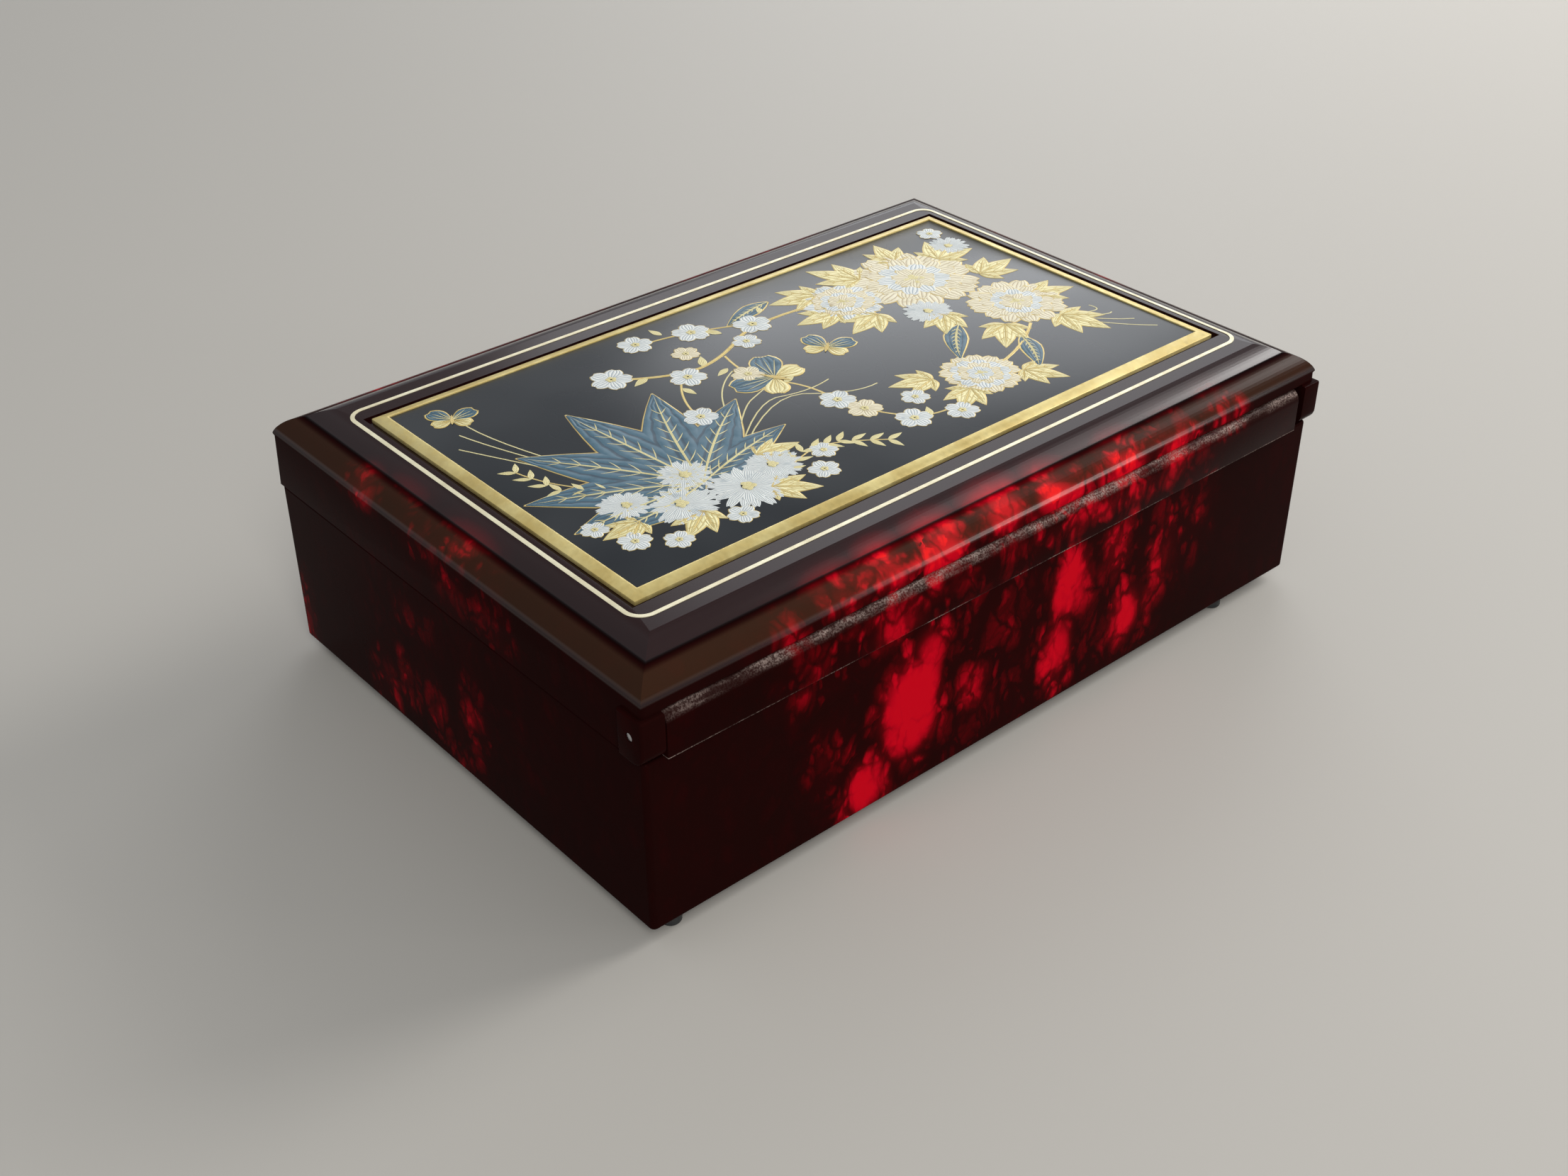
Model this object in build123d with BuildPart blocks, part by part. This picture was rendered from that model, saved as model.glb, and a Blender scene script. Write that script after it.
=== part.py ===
"""Musical jewellery box with a hinged lid, in millimetres.

The origin is the middle of the footprint on the table. +X runs along the hinge side, +Y points to
the front and +Z is up. The lid is drawn shut. The musical movement stands in the right rear bay.
"""
import math
import os

from build123d import *

os.makedirs("parts", exist_ok=True)

# Lid form
lid_length = 230.0
lid_width = 156.0
skirt_bottom_z = 51.5
skirt_height = 15.5
skirt_flare = 0.4
skirt_edge = 0.3
shoulder_radius = 0.9
corner_radius = 1.5
ovolo_run = 6.8
ovolo_rise = 4.7
ovolo_bulge_run = 2.6
ovolo_bulge_rise = 2.95
crown_run = 7.2
crown_rise = 2.5
lid_wall = 2.4
ceiling_rise = 0.4
recess_inset = 12.0
recess_height = 3.6

# Lid ornament, insets from the edge of the lid
border_inset_x = 16.5
border_inset_y = 23.2
border_width = 3.2
border_ridge = 0.6
border_rise = 0.8
panel_rise = 0.5
panel_depth = 1.2
inlay_fit = 0.05
line_inset_x = 12.7
line_inset_y = 17.1
line_width = 1.2
line_depth = 0.5
line_corner = 4.5
line_fit = 0.05

# Hinge, insets from the edge of the lid and heights over the skirt's edge
hinge_inset = 3.0
hinge_rise = 6.7
lug_inset = 5.2
lug_proud = 1.3
lug_depth = 8.6
lug_height = 12.1
lug_heel_radius = 3.5
lug_edge = 0.6
lug_block_inset = 2.0
lug_block_rear_inset = 0.8
pin_radius = 1.1
pin_fit = 0.05
pin_press = 0.02
pin_sunk = 0.2
pin_length = 18.1
rail_left_inset = 5.6
rail_right_inset = 7.4
rail_height = 12.0
rail_front_fit = 0.2
rail_round = 3.6
rail_leg = 4.8
rail_band_gap = 0.6

# Thumb lip at the front
thumb_half = 22.0
thumb_flat = 15.0
thumb_end_proud = 0.2
thumb_proud = 1.3
thumb_root = 1.0
thumb_height = 5.5

# Box body
parting_gap = 0.3
foot_height = 3.5
base_inset = 0.5
base_wall = 4.0
base_floor = 3.0
base_edge = 1.0
lip_height = 4.0
lip_fit = 0.3
lip_rear_inset = 11.5

# Feet, placed where the photograph shows them at the hinge side
foot_left_inset = 8.1
foot_right_inset = 27.2
foot_inset = 4.2
foot_radius = 2.7
foot_sole = 2.0
foot_belly_z = 1.1
stud_radius = 1.5
stud_height = 1.9
socket_radius = 1.55
socket_depth = 2.0

# Lining and partitions
liner_fit = 0.1
liner_wall = 1.2
liner_drop = 5.2
board = 2.4
bay_inset = 67.0
bay_length = 48.0
rear_split_offset = 81.2
rear_split_top_z = 40.0
bed_fit = 0.3
bed_wall = 1.6
bed_top_z = 32.0
roll_count = 6
roll_height = 16.0
roll_shoulder = 10.6
roll_gap = 0.33
roll_drawn_in = 0.5
roll_end_radius = 1.6
roll_top_radius = 4.0
roll_end_gap = 0.2

# Window over the movement
window_rear_inset = 7.4
window_right_inset = 4.4
window_band = 8.0
window_thickness = 2.4
window_edge = 0.6
window_corner = 2.0
pane_lap = 1.2
pane_thickness = 1.2
pane_fit = 0.1

# Stop plunger
plunger_inset = 1.8
plunger_radius = 1.4
plunger_fit = 0.05
plunger_gap = 0.3
plunger_head_radius = 2.2
plunger_head_height = 1.6
plunger_tab_width = 2.0
plunger_tab_thickness = 1.2
plunger_tab_reach = 5.2
bushing_radius = 2.08
bushing_flange = 3.2
bushing_flange_height = 1.0

# Key well and winding key
barrel_inset_x = 35.0
barrel_inset_y = 34.0
well_radius = 19.0
well_wall = 2.5
well_ceiling_z = 16.5
well_top_z = 19.0
arbor_radius = 2.0
arbor_fit = 0.08
arbor_hole = 2.3
arbor_bottom_z = 12.0
key_hub_radius = 4.0
key_hub_bottom_z = 8.6
key_hub_top_z = 16.2
key_thickness = 2.4
key_wing_x = 6.6
key_wing_z = 8.9
key_wing_radius = 4.6
key_wing_hole = 2.0
key_bar_height = 5.2

# Bedplate, heights above its underside from here on
bed_z = 19.5
bed_thickness = 3.0
bed_half_x = 24.0
bed_rear_s = -20.0
bed_front_s = 45.0
bed_corner = 3.0
post_x = 20.5
post_rear_s = -16.0
post_front_s = 41.0
post_radius = 4.0
screw_radius = 1.5
screw_fit = 0.1
screw_head_radius = 2.8
screw_head_height = 2.2
screw_head_fit = 0.3
screw_slot = 0.6
boss_radius = 4.5
boss_top = 3.8
axis_height = 11.5
upright_half = 5.0
upright_rear_s = 16.6
upright_rear_width = 1.6
upright_front_s = 36.8
upright_front_width = 1.2
bearing_fit = 0.08

# Spring barrel with its crown gear
crown_bottom = 4.0
crown_root = 5.6
crown_tip = 7.2
crown_teeth = 36
crown_pitch_radius = 15.0
crown_face = 2.4
crown_tooth_width = 1.3
crown_taper = 10.6
drum_radius = 13.0
drum_wall = 1.0
drum_floor = 6.4
drum_top = 18.4
cap_thickness = 1.0
cap_step = 0.8
arbor_top = 20.4

# Pinned cylinder and its gears, s is the distance forward of the barrel axis
pinion_teeth = 12
pinion_root = 4.15
pinion_tip = 5.7
pinion_s = 14.0
pinion_width = 2.0
shaft_radius = 1.0
shaft_fit = 0.02
shaft_start_s = 13.6
shaft_end_s = 38.4
cylinder_radius = 6.0
cylinder_start_s = 19.0
cylinder_end_s = 34.0
track_count = 18
track_pitch = 0.8
track_start_s = 19.7
track_pins = 4
music_pin = 0.4
music_pin_height = 0.8
track_turn = 137.5
wheel_teeth = 32
wheel_root = 6.6
wheel_tip = 7.65
wheel_s = 34.6
wheel_width = 1.4

# Comb
comb_tip_x = -6.9
comb_root_x = -17.0
comb_back_x = -21.2
comb_start_s = 18.4
comb_end_s = 34.6
comb_bottom = 10.9
comb_thickness = 1.2
comb_relief = 0.5
comb_slot = 0.25
comb_long_slot = 10.0
comb_short_slot = 6.0
comb_screw_x = -19.2
comb_screw_s = (21.8, 31.2)
comb_screw_radius = 0.9
small_screw_fit = 0.05
small_screw_bottom = 1.0
comb_head_radius = 1.6
comb_head_height = 1.1
head_slot_width = 0.5
head_slot_depth = 0.5

# Governor
governor_x = 9.9
worm_x = 15.1
worm_s = 39.0
governor_shaft = 0.75
governor_fit = 0.06
governor_start_s = 31.6
governor_end_s = 42.4
leaf_teeth = 12
leaf_root = 2.1
leaf_tip = 3.15
screw_wheel_teeth = 12
screw_wheel_root = 2.95
screw_wheel_tip = 4.2
screw_wheel_width = 0.8
screw_wheel_hub = 1.6
screw_wheel_hub_half = 0.9
module = 0.6
worm_starts = 2
worm_root = 0.9
worm_tip = 2.05
worm_root_thickness = 0.82
worm_tip_thickness = 0.3
worm_bottom = 8.3
worm_length = 6.4
worm_step = 30.0
spindle_radius = 0.7
spindle_bottom = 4.4
spindle_top = 19.2
pivot_radius = 0.45
pivot_fit = 0.06
pivot_bottom = 3.3
pivot_top = 20.7
fan_bottom = 16.0
fan_height = 3.0
fan_radius = 4.5
fan_blade = 0.45
fan_hub = 1.3
fan_gap = 0.3
bracket_start_x = 7.9
bracket_end_x = 21.5
bracket_start_s = 31.8
bracket_end_s = 42.2
bracket_thickness = 1.2
cheek_end_x = 12.0
cheek_top = 13.5
bridge_post_x = 20.0
bridge_post_s = (36.5, 41.5)
bridge_x = 13.6
bridge_s = (37.8, 40.2)
bridge_bottom = 19.6
bridge_top = 21.0
governor_screw_places = ((18.6, 33.9), (11.4, 38.6))
governor_screw_radius = 0.8
governor_head_radius = 1.4
governor_head_height = 0.9

# Mirror in the lid
frame_inset_x = 9.0
frame_inset_y = 11.0
frame_height = 4.0
frame_band_x = 14.0
frame_band_y = 10.0
frame_bevel = 1.0
rebate = 3.0
rebate_height = 2.4
mirror_fit = 0.2
backing_fit = 0.3

# Derived sizes
half_x = lid_length / 2
half_y = lid_width / 2
shoulder_z = skirt_bottom_z + skirt_height
flat_top_z = shoulder_z + ovolo_rise + crown_rise
crown_radius = (crown_run**2 + crown_rise**2) / (2 * crown_rise)
flat_inset = ovolo_run + crown_run
ceiling_z = shoulder_z + ceiling_rise
recess_z = ceiling_z + recess_height
border_half_x = half_x - border_inset_x
border_half_y = half_y - border_inset_y
line_half_x = half_x - line_inset_x
line_half_y = half_y - line_inset_y
hinge_y = hinge_inset - half_y
hinge_z = skirt_bottom_z + hinge_rise
lug_inner_x = half_x - lug_inset
lug_outer_x = half_x + lug_proud
lug_rear_y = -half_y - lug_proud
lug_front_y = lug_rear_y + lug_depth
lug_top_z = skirt_bottom_z + lug_height
lug_block_x = half_x - lug_block_inset
lug_block_rear_y = lug_block_rear_inset - half_y
pin_end_x = lug_outer_x - pin_sunk
pin_inner_x = pin_end_x - pin_length
rail_left_x = rail_left_inset - half_x
rail_right_x = half_x - rail_right_inset
rail_top_z = skirt_bottom_z + rail_height
rail_front_y = lug_front_y - rail_front_fit
band_bottom_z = rail_top_z + rail_band_gap
thumb_end_y = half_y + thumb_end_proud
thumb_y = half_y + thumb_proud
thumb_root_y = half_y - thumb_root
lip_rear_y = lip_rear_inset - half_y
foot_left_x = foot_left_inset - half_x
foot_right_x = half_x - foot_right_inset
foot_y = half_y - foot_inset
barrel_x = half_x - barrel_inset_x
barrel_y = barrel_inset_y - half_y
bay_x = half_x - bay_inset
row_y = barrel_y + bay_length
rear_split_x = bay_x - rear_split_offset
window_rear_y = window_rear_inset - half_y
window_right_x = half_x - window_right_inset
plunger_y = row_y - plunger_inset
frame_half_x = half_x - frame_inset_x
frame_half_y = half_y - frame_inset_y
frame_bottom_z = ceiling_z - frame_height
frame_opening_x = frame_half_x - frame_band_x
frame_opening_y = frame_half_y - frame_band_y
rebate_z = ceiling_z - rebate_height
plunger_top_z = frame_bottom_z - plunger_gap
base_top_z = skirt_bottom_z - parting_gap
rail_leg_z = base_top_z - rail_leg
liner_top_z = base_top_z - liner_drop
base_half_x = half_x + skirt_flare - base_inset
base_half_y = half_y + skirt_flare - base_inset
inner_x = base_half_x - base_wall
inner_y = base_half_y - base_wall
floor_z = foot_height + base_floor
lid_inner_x = half_x - lid_wall
lid_inner_y = half_y - lid_wall
liner_x = inner_x - liner_fit
liner_y = inner_y - liner_fit
room_x = liner_x - liner_wall
room_y = liner_y - liner_wall
room_z = floor_z + liner_wall
wall_x = room_x - liner_fit
wall_y = room_y - liner_fit
bay_left_x = bay_x + board
row_front_y = row_y + board
axis_z = bed_z + axis_height
post_places = [(barrel_x + side * post_x, barrel_y + s) for side in (-1, 1) for s in (post_rear_s, post_front_s)]
worm_place = (barrel_x + worm_x, barrel_y + worm_s)
lead = worm_starts * math.pi * module


def box_between(low, high, mode=Mode.ADD):
    """Adds or cuts a block between two opposite corners, inside an open part."""
    size = [b - a for a, b in zip(low, high)]
    with Locations(tuple(low)):
        Box(*size, align=(Align.MIN, Align.MIN, Align.MIN), mode=mode)


def gear_outline(teeth, root_radius, tip_radius, root_share, tip_share, phase=0.0):
    """Corner points of a gear. The shares say how much of the pitch a tooth fills."""
    points = []
    corners = ((root_radius, -root_share), (tip_radius, -tip_share), (tip_radius, tip_share), (root_radius, root_share))
    for tooth in range(teeth):
        for radius, share in corners:
            angle = math.radians(phase + 360 / teeth * tooth + share * 180 / teeth)
            points.append((radius * math.cos(angle), radius * math.sin(angle)))
    return points


def across(offset_x, s, height=axis_height):
    """Plane of a gear whose shaft lies front to back, facing the front."""
    origin = (barrel_x + offset_x, barrel_y + s, bed_z + height)
    return Plane(origin=origin, x_dir=(1, 0, 0), z_dir=(0, 1, 0))


def level(offset_x, s, height):
    """Horizontal plane at a place of the movement."""
    return Plane(origin=(barrel_x + offset_x, barrel_y + s, bed_z + height))


def lid_section(half):
    """Outline of the lid across one of its directions, from skirt to skirt."""
    centre_x = half - flat_inset
    centre_z = flat_top_z - crown_radius
    middle = math.radians(90 - math.degrees(math.asin(crown_run / crown_radius)) / 2)
    crown_x = centre_x + crown_radius * math.cos(middle)
    crown_z = centre_z + crown_radius * math.sin(middle)
    foot = half + skirt_flare
    for side in (-1, 1):
        Line((side * (foot - skirt_edge), skirt_bottom_z), (side * foot, skirt_bottom_z + skirt_edge))
        Line((side * foot, skirt_bottom_z + skirt_edge), (side * half, shoulder_z))
        ThreePointArc(
            (side * half, shoulder_z),
            (side * (half - ovolo_bulge_run), shoulder_z + ovolo_bulge_rise),
            (side * (half - ovolo_run), shoulder_z + ovolo_rise),
        )
        ThreePointArc(
            (side * (half - ovolo_run), shoulder_z + ovolo_rise),
            (side * crown_x, crown_z),
            (side * centre_x, flat_top_z),
        )
    Line((-centre_x, flat_top_z), (centre_x, flat_top_z))
    Line((skirt_edge - foot, skirt_bottom_z), (foot - skirt_edge, skirt_bottom_z))


# The outer form of the lid: two sections crossing, so the corners come out mitred
with BuildPart() as lid_form:
    with BuildSketch(Plane.XZ) as long_section:
        with BuildLine():
            lid_section(half_x)
        make_face()
        shoulder = [v for v in long_section.vertices() if abs(v.Y - shoulder_z) < skirt_edge]
        fillet(shoulder, radius=shoulder_radius)
    extrude(amount=lid_width, both=True)
    with BuildSketch(Plane.YZ) as cross_section:
        with BuildLine():
            lid_section(half_y)
        make_face()
        shoulder = [v for v in cross_section.vertices() if abs(v.Y - shoulder_z) < skirt_edge]
        fillet(shoulder, radius=shoulder_radius)
    extrude(amount=lid_length, both=True, mode=Mode.INTERSECT)
    with BuildSketch(Plane.XY.offset(skirt_bottom_z)):
        RectangleRounded(lid_length + 2 * skirt_flare, lid_width + 2 * skirt_flare, corner_radius)
    extrude(amount=flat_top_z, mode=Mode.INTERSECT)

# One hinge lug, drawn at the right
with BuildPart() as lug_form:
    with BuildSketch(Plane.YZ.offset(lug_inner_x)) as lug_section:
        with BuildLine():
            Polyline(
                (lug_rear_y, skirt_bottom_z),
                (lug_front_y, skirt_bottom_z),
                (lug_front_y, lug_top_z),
                (lug_rear_y, lug_top_z),
                close=True,
            )
        make_face()
        heel = lug_section.vertices().sort_by_distance((lug_rear_y, skirt_bottom_z))[0]
        fillet(heel, radius=lug_heel_radius)
    extrude(amount=lug_outer_x - lug_inner_x)
    outer_edges = lug_form.faces().sort_by(Axis.X)[-1].edges()
    rear_top = lug_form.edges().filter_by(Axis.X).sort_by_distance((lug_inner_x, lug_rear_y, lug_top_z))[0]
    fillet(outer_edges + ShapeList([rear_top]), radius=lug_edge)
    box_between(
        (lug_inner_x, lug_block_rear_y, lug_top_z - lug_edge),
        (lug_block_x, lug_front_y, ceiling_z + lid_wall / 2),
    )

with BuildPart() as lid_shell:
    add(lid_form.part)
    with BuildSketch(Plane.XY.offset(skirt_bottom_z)):
        Rectangle(2 * lid_inner_x, 2 * lid_inner_y)
    extrude(amount=ceiling_z - skirt_bottom_z, mode=Mode.SUBTRACT)
    with BuildSketch(Plane.XY.offset(ceiling_z)):
        Rectangle(2 * (half_x - recess_inset), 2 * (half_y - recess_inset))
    extrude(amount=recess_z - ceiling_z, mode=Mode.SUBTRACT)
    box_between(
        (-lug_inner_x, lug_rear_y - lid_wall, skirt_bottom_z),
        (lug_inner_x, -lid_inner_y, band_bottom_z),
        mode=Mode.SUBTRACT,
    )
    for side_x in (-lug_outer_x, lug_inner_x):
        box_between(
            (side_x, lug_rear_y - lid_wall, skirt_bottom_z),
            (side_x + lug_outer_x - lug_inner_x, lug_rear_y + lug_heel_radius, skirt_bottom_z + lug_heel_radius),
            mode=Mode.SUBTRACT,
        )
    add(lug_form.part)
    mirror(lug_form.part, about=Plane.YZ)
    with BuildSketch(Plane.YZ.offset(-lug_outer_x)):
        with Locations((hinge_y, hinge_z)):
            Circle(pin_radius + pin_fit)
    extrude(amount=2 * lug_outer_x, mode=Mode.SUBTRACT)
    with BuildSketch(Plane.XY.offset(skirt_bottom_z)):
        with BuildLine():
            Polyline(
                (-thumb_half, thumb_root_y),
                (-thumb_half, thumb_end_y),
                (-thumb_flat, thumb_y),
                (thumb_flat, thumb_y),
                (thumb_half, thumb_end_y),
                (thumb_half, thumb_root_y),
                close=True,
            )
        make_face()
    extrude(amount=thumb_height)
    with BuildSketch(Plane.XY.offset(flat_top_z - panel_depth)):
        Rectangle(2 * border_half_x, 2 * border_half_y)
    extrude(amount=panel_depth, mode=Mode.SUBTRACT)
    with BuildSketch(Plane.XY.offset(flat_top_z - line_depth)):
        RectangleRounded(2 * line_half_x + line_width, 2 * line_half_y + line_width, line_corner + line_width / 2)
        RectangleRounded(
            2 * line_half_x - line_width,
            2 * line_half_y - line_width,
            line_corner - line_width / 2,
            mode=Mode.SUBTRACT,
        )
    extrude(amount=line_depth, mode=Mode.SUBTRACT)
lid_shell.part.label = "lid_shell"
export_step(lid_shell.part, "parts/lid_shell.step")

with BuildPart() as gold_line:
    add(lid_form.part)
    with BuildSketch(Plane.XY.offset(flat_top_z - line_depth)):
        RectangleRounded(
            2 * line_half_x + line_width - 2 * line_fit,
            2 * line_half_y + line_width - 2 * line_fit,
            line_corner + line_width / 2 - line_fit,
        )
        RectangleRounded(
            2 * line_half_x - line_width + 2 * line_fit,
            2 * line_half_y - line_width + 2 * line_fit,
            line_corner - line_width / 2 + line_fit,
            mode=Mode.SUBTRACT,
        )
    extrude(amount=line_depth, mode=Mode.INTERSECT)
gold_line.part.label = "gold_line"
export_step(gold_line.part, "parts/gold_line.step")

with BuildPart() as gold_border:
    outer_x = 2 * (border_half_x - inlay_fit)
    outer_y = 2 * (border_half_y - inlay_fit)
    slope = 2 * (border_width - border_ridge)
    with BuildSketch(Plane.XY.offset(flat_top_z - panel_depth)):
        Rectangle(outer_x, outer_y)
    extrude(amount=panel_depth)
    with BuildSketch(Plane.XY.offset(flat_top_z)):
        Rectangle(outer_x, outer_y)
    with BuildSketch(Plane.XY.offset(flat_top_z + border_rise)):
        Rectangle(outer_x - slope, outer_y - slope)
    loft(ruled=True)
    with BuildSketch(Plane.XY.offset(flat_top_z - panel_depth)):
        Rectangle(2 * (border_half_x - border_width), 2 * (border_half_y - border_width))
    extrude(amount=panel_depth + border_rise, mode=Mode.SUBTRACT)
gold_border.part.label = "gold_border"
export_step(gold_border.part, "parts/gold_border.step")

with BuildPart() as art_panel:
    with BuildSketch(Plane.XY.offset(flat_top_z - panel_depth)):
        Rectangle(
            2 * (border_half_x - border_width - inlay_fit),
            2 * (border_half_y - border_width - inlay_fit),
        )
    extrude(amount=panel_depth + panel_rise)
art_panel.part.label = "art_panel"
export_step(art_panel.part, "parts/art_panel.step")

with BuildPart() as mirror_frame:
    with BuildSketch(Plane.XY.offset(frame_bottom_z)):
        Rectangle(2 * frame_half_x, 2 * frame_half_y)
        Rectangle(2 * frame_opening_x, 2 * frame_opening_y, mode=Mode.SUBTRACT)
    extrude(amount=ceiling_z - frame_bottom_z)
    chamfer(mirror_frame.faces().sort_by(Axis.Z)[0].inner_wires().edges(), length=frame_bevel)
    with BuildSketch(Plane.XY.offset(rebate_z)):
        Rectangle(2 * (frame_opening_x + rebate), 2 * (frame_opening_y + rebate))
    extrude(amount=ceiling_z - rebate_z, mode=Mode.SUBTRACT)
mirror_frame.part.label = "mirror_frame"
export_step(mirror_frame.part, "parts/mirror_frame.step")

with BuildPart() as mirror_glass:
    with BuildSketch(Plane.XY.offset(rebate_z)):
        Rectangle(
            2 * (frame_opening_x + rebate - mirror_fit),
            2 * (frame_opening_y + rebate - mirror_fit),
        )
    extrude(amount=ceiling_z - rebate_z)
mirror_glass.part.label = "mirror_glass"
export_step(mirror_glass.part, "parts/mirror_glass.step")

with BuildPart() as mirror_backing:
    with BuildSketch(Plane.XY.offset(ceiling_z)):
        Rectangle(
            2 * (half_x - recess_inset - backing_fit),
            2 * (half_y - recess_inset - backing_fit),
        )
    extrude(amount=recess_z - ceiling_z)
mirror_backing.part.label = "mirror_backing"
export_step(mirror_backing.part, "parts/mirror_backing.step")

with BuildPart() as base_shell:
    with BuildSketch(Plane.XY.offset(foot_height)):
        RectangleRounded(2 * base_half_x, 2 * base_half_y, corner_radius)
    extrude(amount=base_top_z - foot_height)
    fillet(base_shell.edges().group_by(Axis.Z)[0], radius=base_edge)
    with BuildSketch(Plane.XY.offset(floor_z)):
        Rectangle(2 * inner_x, 2 * inner_y)
    extrude(amount=base_top_z - floor_z, mode=Mode.SUBTRACT)
    with BuildSketch(Plane.XY.offset(base_top_z)):
        Rectangle(2 * (lid_inner_x - lip_fit), 2 * (lid_inner_y - lip_fit))
        Rectangle(2 * inner_x, 2 * inner_y, mode=Mode.SUBTRACT)
        with Locations((0, lip_rear_y)):
            Rectangle(lid_length, lid_width, align=(Align.CENTER, Align.MAX), mode=Mode.SUBTRACT)
    extrude(amount=lip_height)
    with BuildSketch(Plane.XY.offset(floor_z)):
        with Locations((barrel_x, barrel_y)):
            Circle(well_radius + well_wall)
    extrude(amount=well_top_z - floor_z)
    with BuildSketch(Plane.XY.offset(floor_z)):
        with Locations(*post_places):
            Circle(post_radius)
    extrude(amount=bed_z - floor_z)
    with BuildSketch(Plane.XY.offset(foot_height)):
        with Locations((barrel_x, barrel_y)):
            Circle(well_radius)
    extrude(amount=well_ceiling_z - foot_height, mode=Mode.SUBTRACT)
    with BuildSketch(Plane.XY.offset(well_ceiling_z)):
        with Locations((barrel_x, barrel_y)):
            Circle(arbor_hole)
    extrude(amount=well_top_z - well_ceiling_z, mode=Mode.SUBTRACT)
    with BuildSketch(Plane.XY.offset(foot_height)):
        with Locations(*post_places):
            Circle(screw_radius + screw_fit)
    extrude(amount=bed_z - foot_height, mode=Mode.SUBTRACT)
    with BuildSketch(Plane.XY.offset(foot_height)):
        with Locations(*post_places):
            Circle(screw_head_radius + screw_head_fit)
    extrude(amount=screw_head_height + screw_slot, mode=Mode.SUBTRACT)
    with BuildSketch(Plane.XY.offset(foot_height)):
        with Locations(*[(x, y) for x in (foot_left_x, foot_right_x) for y in (-foot_y, foot_y)]):
            Circle(socket_radius)
    extrude(amount=socket_depth, mode=Mode.SUBTRACT)
base_shell.part.label = "base_shell"
export_step(base_shell.part, "parts/base_shell.step")

with BuildPart() as hinge_rail:
    with BuildSketch(Plane.YZ.offset(rail_left_x)) as rail_section:
        with BuildLine():
            Polyline(
                (lug_rear_y, base_top_z),
                (lug_rear_y, rail_top_z),
                (rail_front_y, rail_top_z),
                (rail_front_y, rail_leg_z),
                (-inner_y, rail_leg_z),
                (-inner_y, base_top_z),
                close=True,
            )
        make_face()
        rail_crest = rail_section.vertices().sort_by_distance((lug_rear_y, rail_top_z))[0]
        fillet(rail_crest, radius=rail_round)
    extrude(amount=rail_right_x - rail_left_x)
    with BuildSketch(Plane.YZ.offset(rail_left_x)):
        with Locations((hinge_y, hinge_z)):
            Circle(pin_radius + pin_press)
    extrude(amount=-rail_left_x - pin_inner_x, mode=Mode.SUBTRACT)
    with BuildSketch(Plane.YZ.offset(rail_right_x)):
        with Locations((hinge_y, hinge_z)):
            Circle(pin_radius + pin_press)
    extrude(amount=pin_inner_x - rail_right_x, mode=Mode.SUBTRACT)
hinge_rail.part.label = "hinge_rail"
export_step(hinge_rail.part, "parts/hinge_rail.step")

with BuildPart() as hinge_pin_left:
    with BuildSketch(Plane.YZ.offset(-pin_end_x)):
        with Locations((hinge_y, hinge_z)):
            Circle(pin_radius)
    extrude(amount=pin_end_x - pin_inner_x)
hinge_pin_left.part.label = "hinge_pin_left"
export_step(hinge_pin_left.part, "parts/hinge_pin_left.step")

with BuildPart() as hinge_pin_right:
    with BuildSketch(Plane.YZ.offset(pin_inner_x)):
        with Locations((hinge_y, hinge_z)):
            Circle(pin_radius)
    extrude(amount=pin_end_x - pin_inner_x)
hinge_pin_right.part.label = "hinge_pin_right"
export_step(hinge_pin_right.part, "parts/hinge_pin_right.step")

# One rubber foot with its stud, drawn on the origin
with BuildPart() as foot_form:
    with BuildSketch(Plane.XZ):
        with BuildLine():
            Polyline(
                (0, 0),
                (foot_sole, 0),
                (foot_radius, foot_belly_z),
                (foot_radius, foot_height),
                (stud_radius, foot_height),
                (stud_radius, foot_height + stud_height),
                (0, foot_height + stud_height),
                (0, 0),
            )
        make_face()
    revolve(axis=Axis.Z)

with BuildPart() as rear_left_foot:
    with Locations((foot_left_x, -foot_y, 0)):
        add(foot_form.part)
rear_left_foot.part.label = "rear_left_foot"
export_step(rear_left_foot.part, "parts/rear_left_foot.step")

with BuildPart() as rear_right_foot:
    with Locations((foot_right_x, -foot_y, 0)):
        add(foot_form.part)
rear_right_foot.part.label = "rear_right_foot"
export_step(rear_right_foot.part, "parts/rear_right_foot.step")

with BuildPart() as front_left_foot:
    with Locations((foot_left_x, foot_y, 0)):
        add(foot_form.part)
front_left_foot.part.label = "front_left_foot"
export_step(front_left_foot.part, "parts/front_left_foot.step")

with BuildPart() as front_right_foot:
    with Locations((foot_right_x, foot_y, 0)):
        add(foot_form.part)
front_right_foot.part.label = "front_right_foot"
export_step(front_right_foot.part, "parts/front_right_foot.step")

with BuildPart() as base_liner:
    box_between((-liner_x, -liner_y, floor_z), (liner_x, liner_y, liner_top_z))
    box_between((-room_x, -room_y, room_z), (room_x, room_y, liner_top_z), mode=Mode.SUBTRACT)
    box_between((bay_left_x, -room_y, floor_z), (room_x, row_y, room_z), mode=Mode.SUBTRACT)
base_liner.part.label = "base_liner"
export_step(base_liner.part, "parts/base_liner.step")

with BuildPart() as bay_partition:
    box_between((bay_x, -wall_y, room_z), (bay_left_x, wall_y, liner_top_z))
bay_partition.part.label = "bay_partition"
export_step(bay_partition.part, "parts/bay_partition.step")

with BuildPart() as movement_partition:
    box_between((bay_left_x + liner_fit, row_y, room_z), (wall_x, row_front_y, liner_top_z))
movement_partition.part.label = "movement_partition"
export_step(movement_partition.part, "parts/movement_partition.step")

with BuildPart() as ring_partition:
    box_between((-wall_x, row_y, room_z), (bay_x - liner_fit, row_front_y, liner_top_z))
ring_partition.part.label = "ring_partition"
export_step(ring_partition.part, "parts/ring_partition.step")

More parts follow.
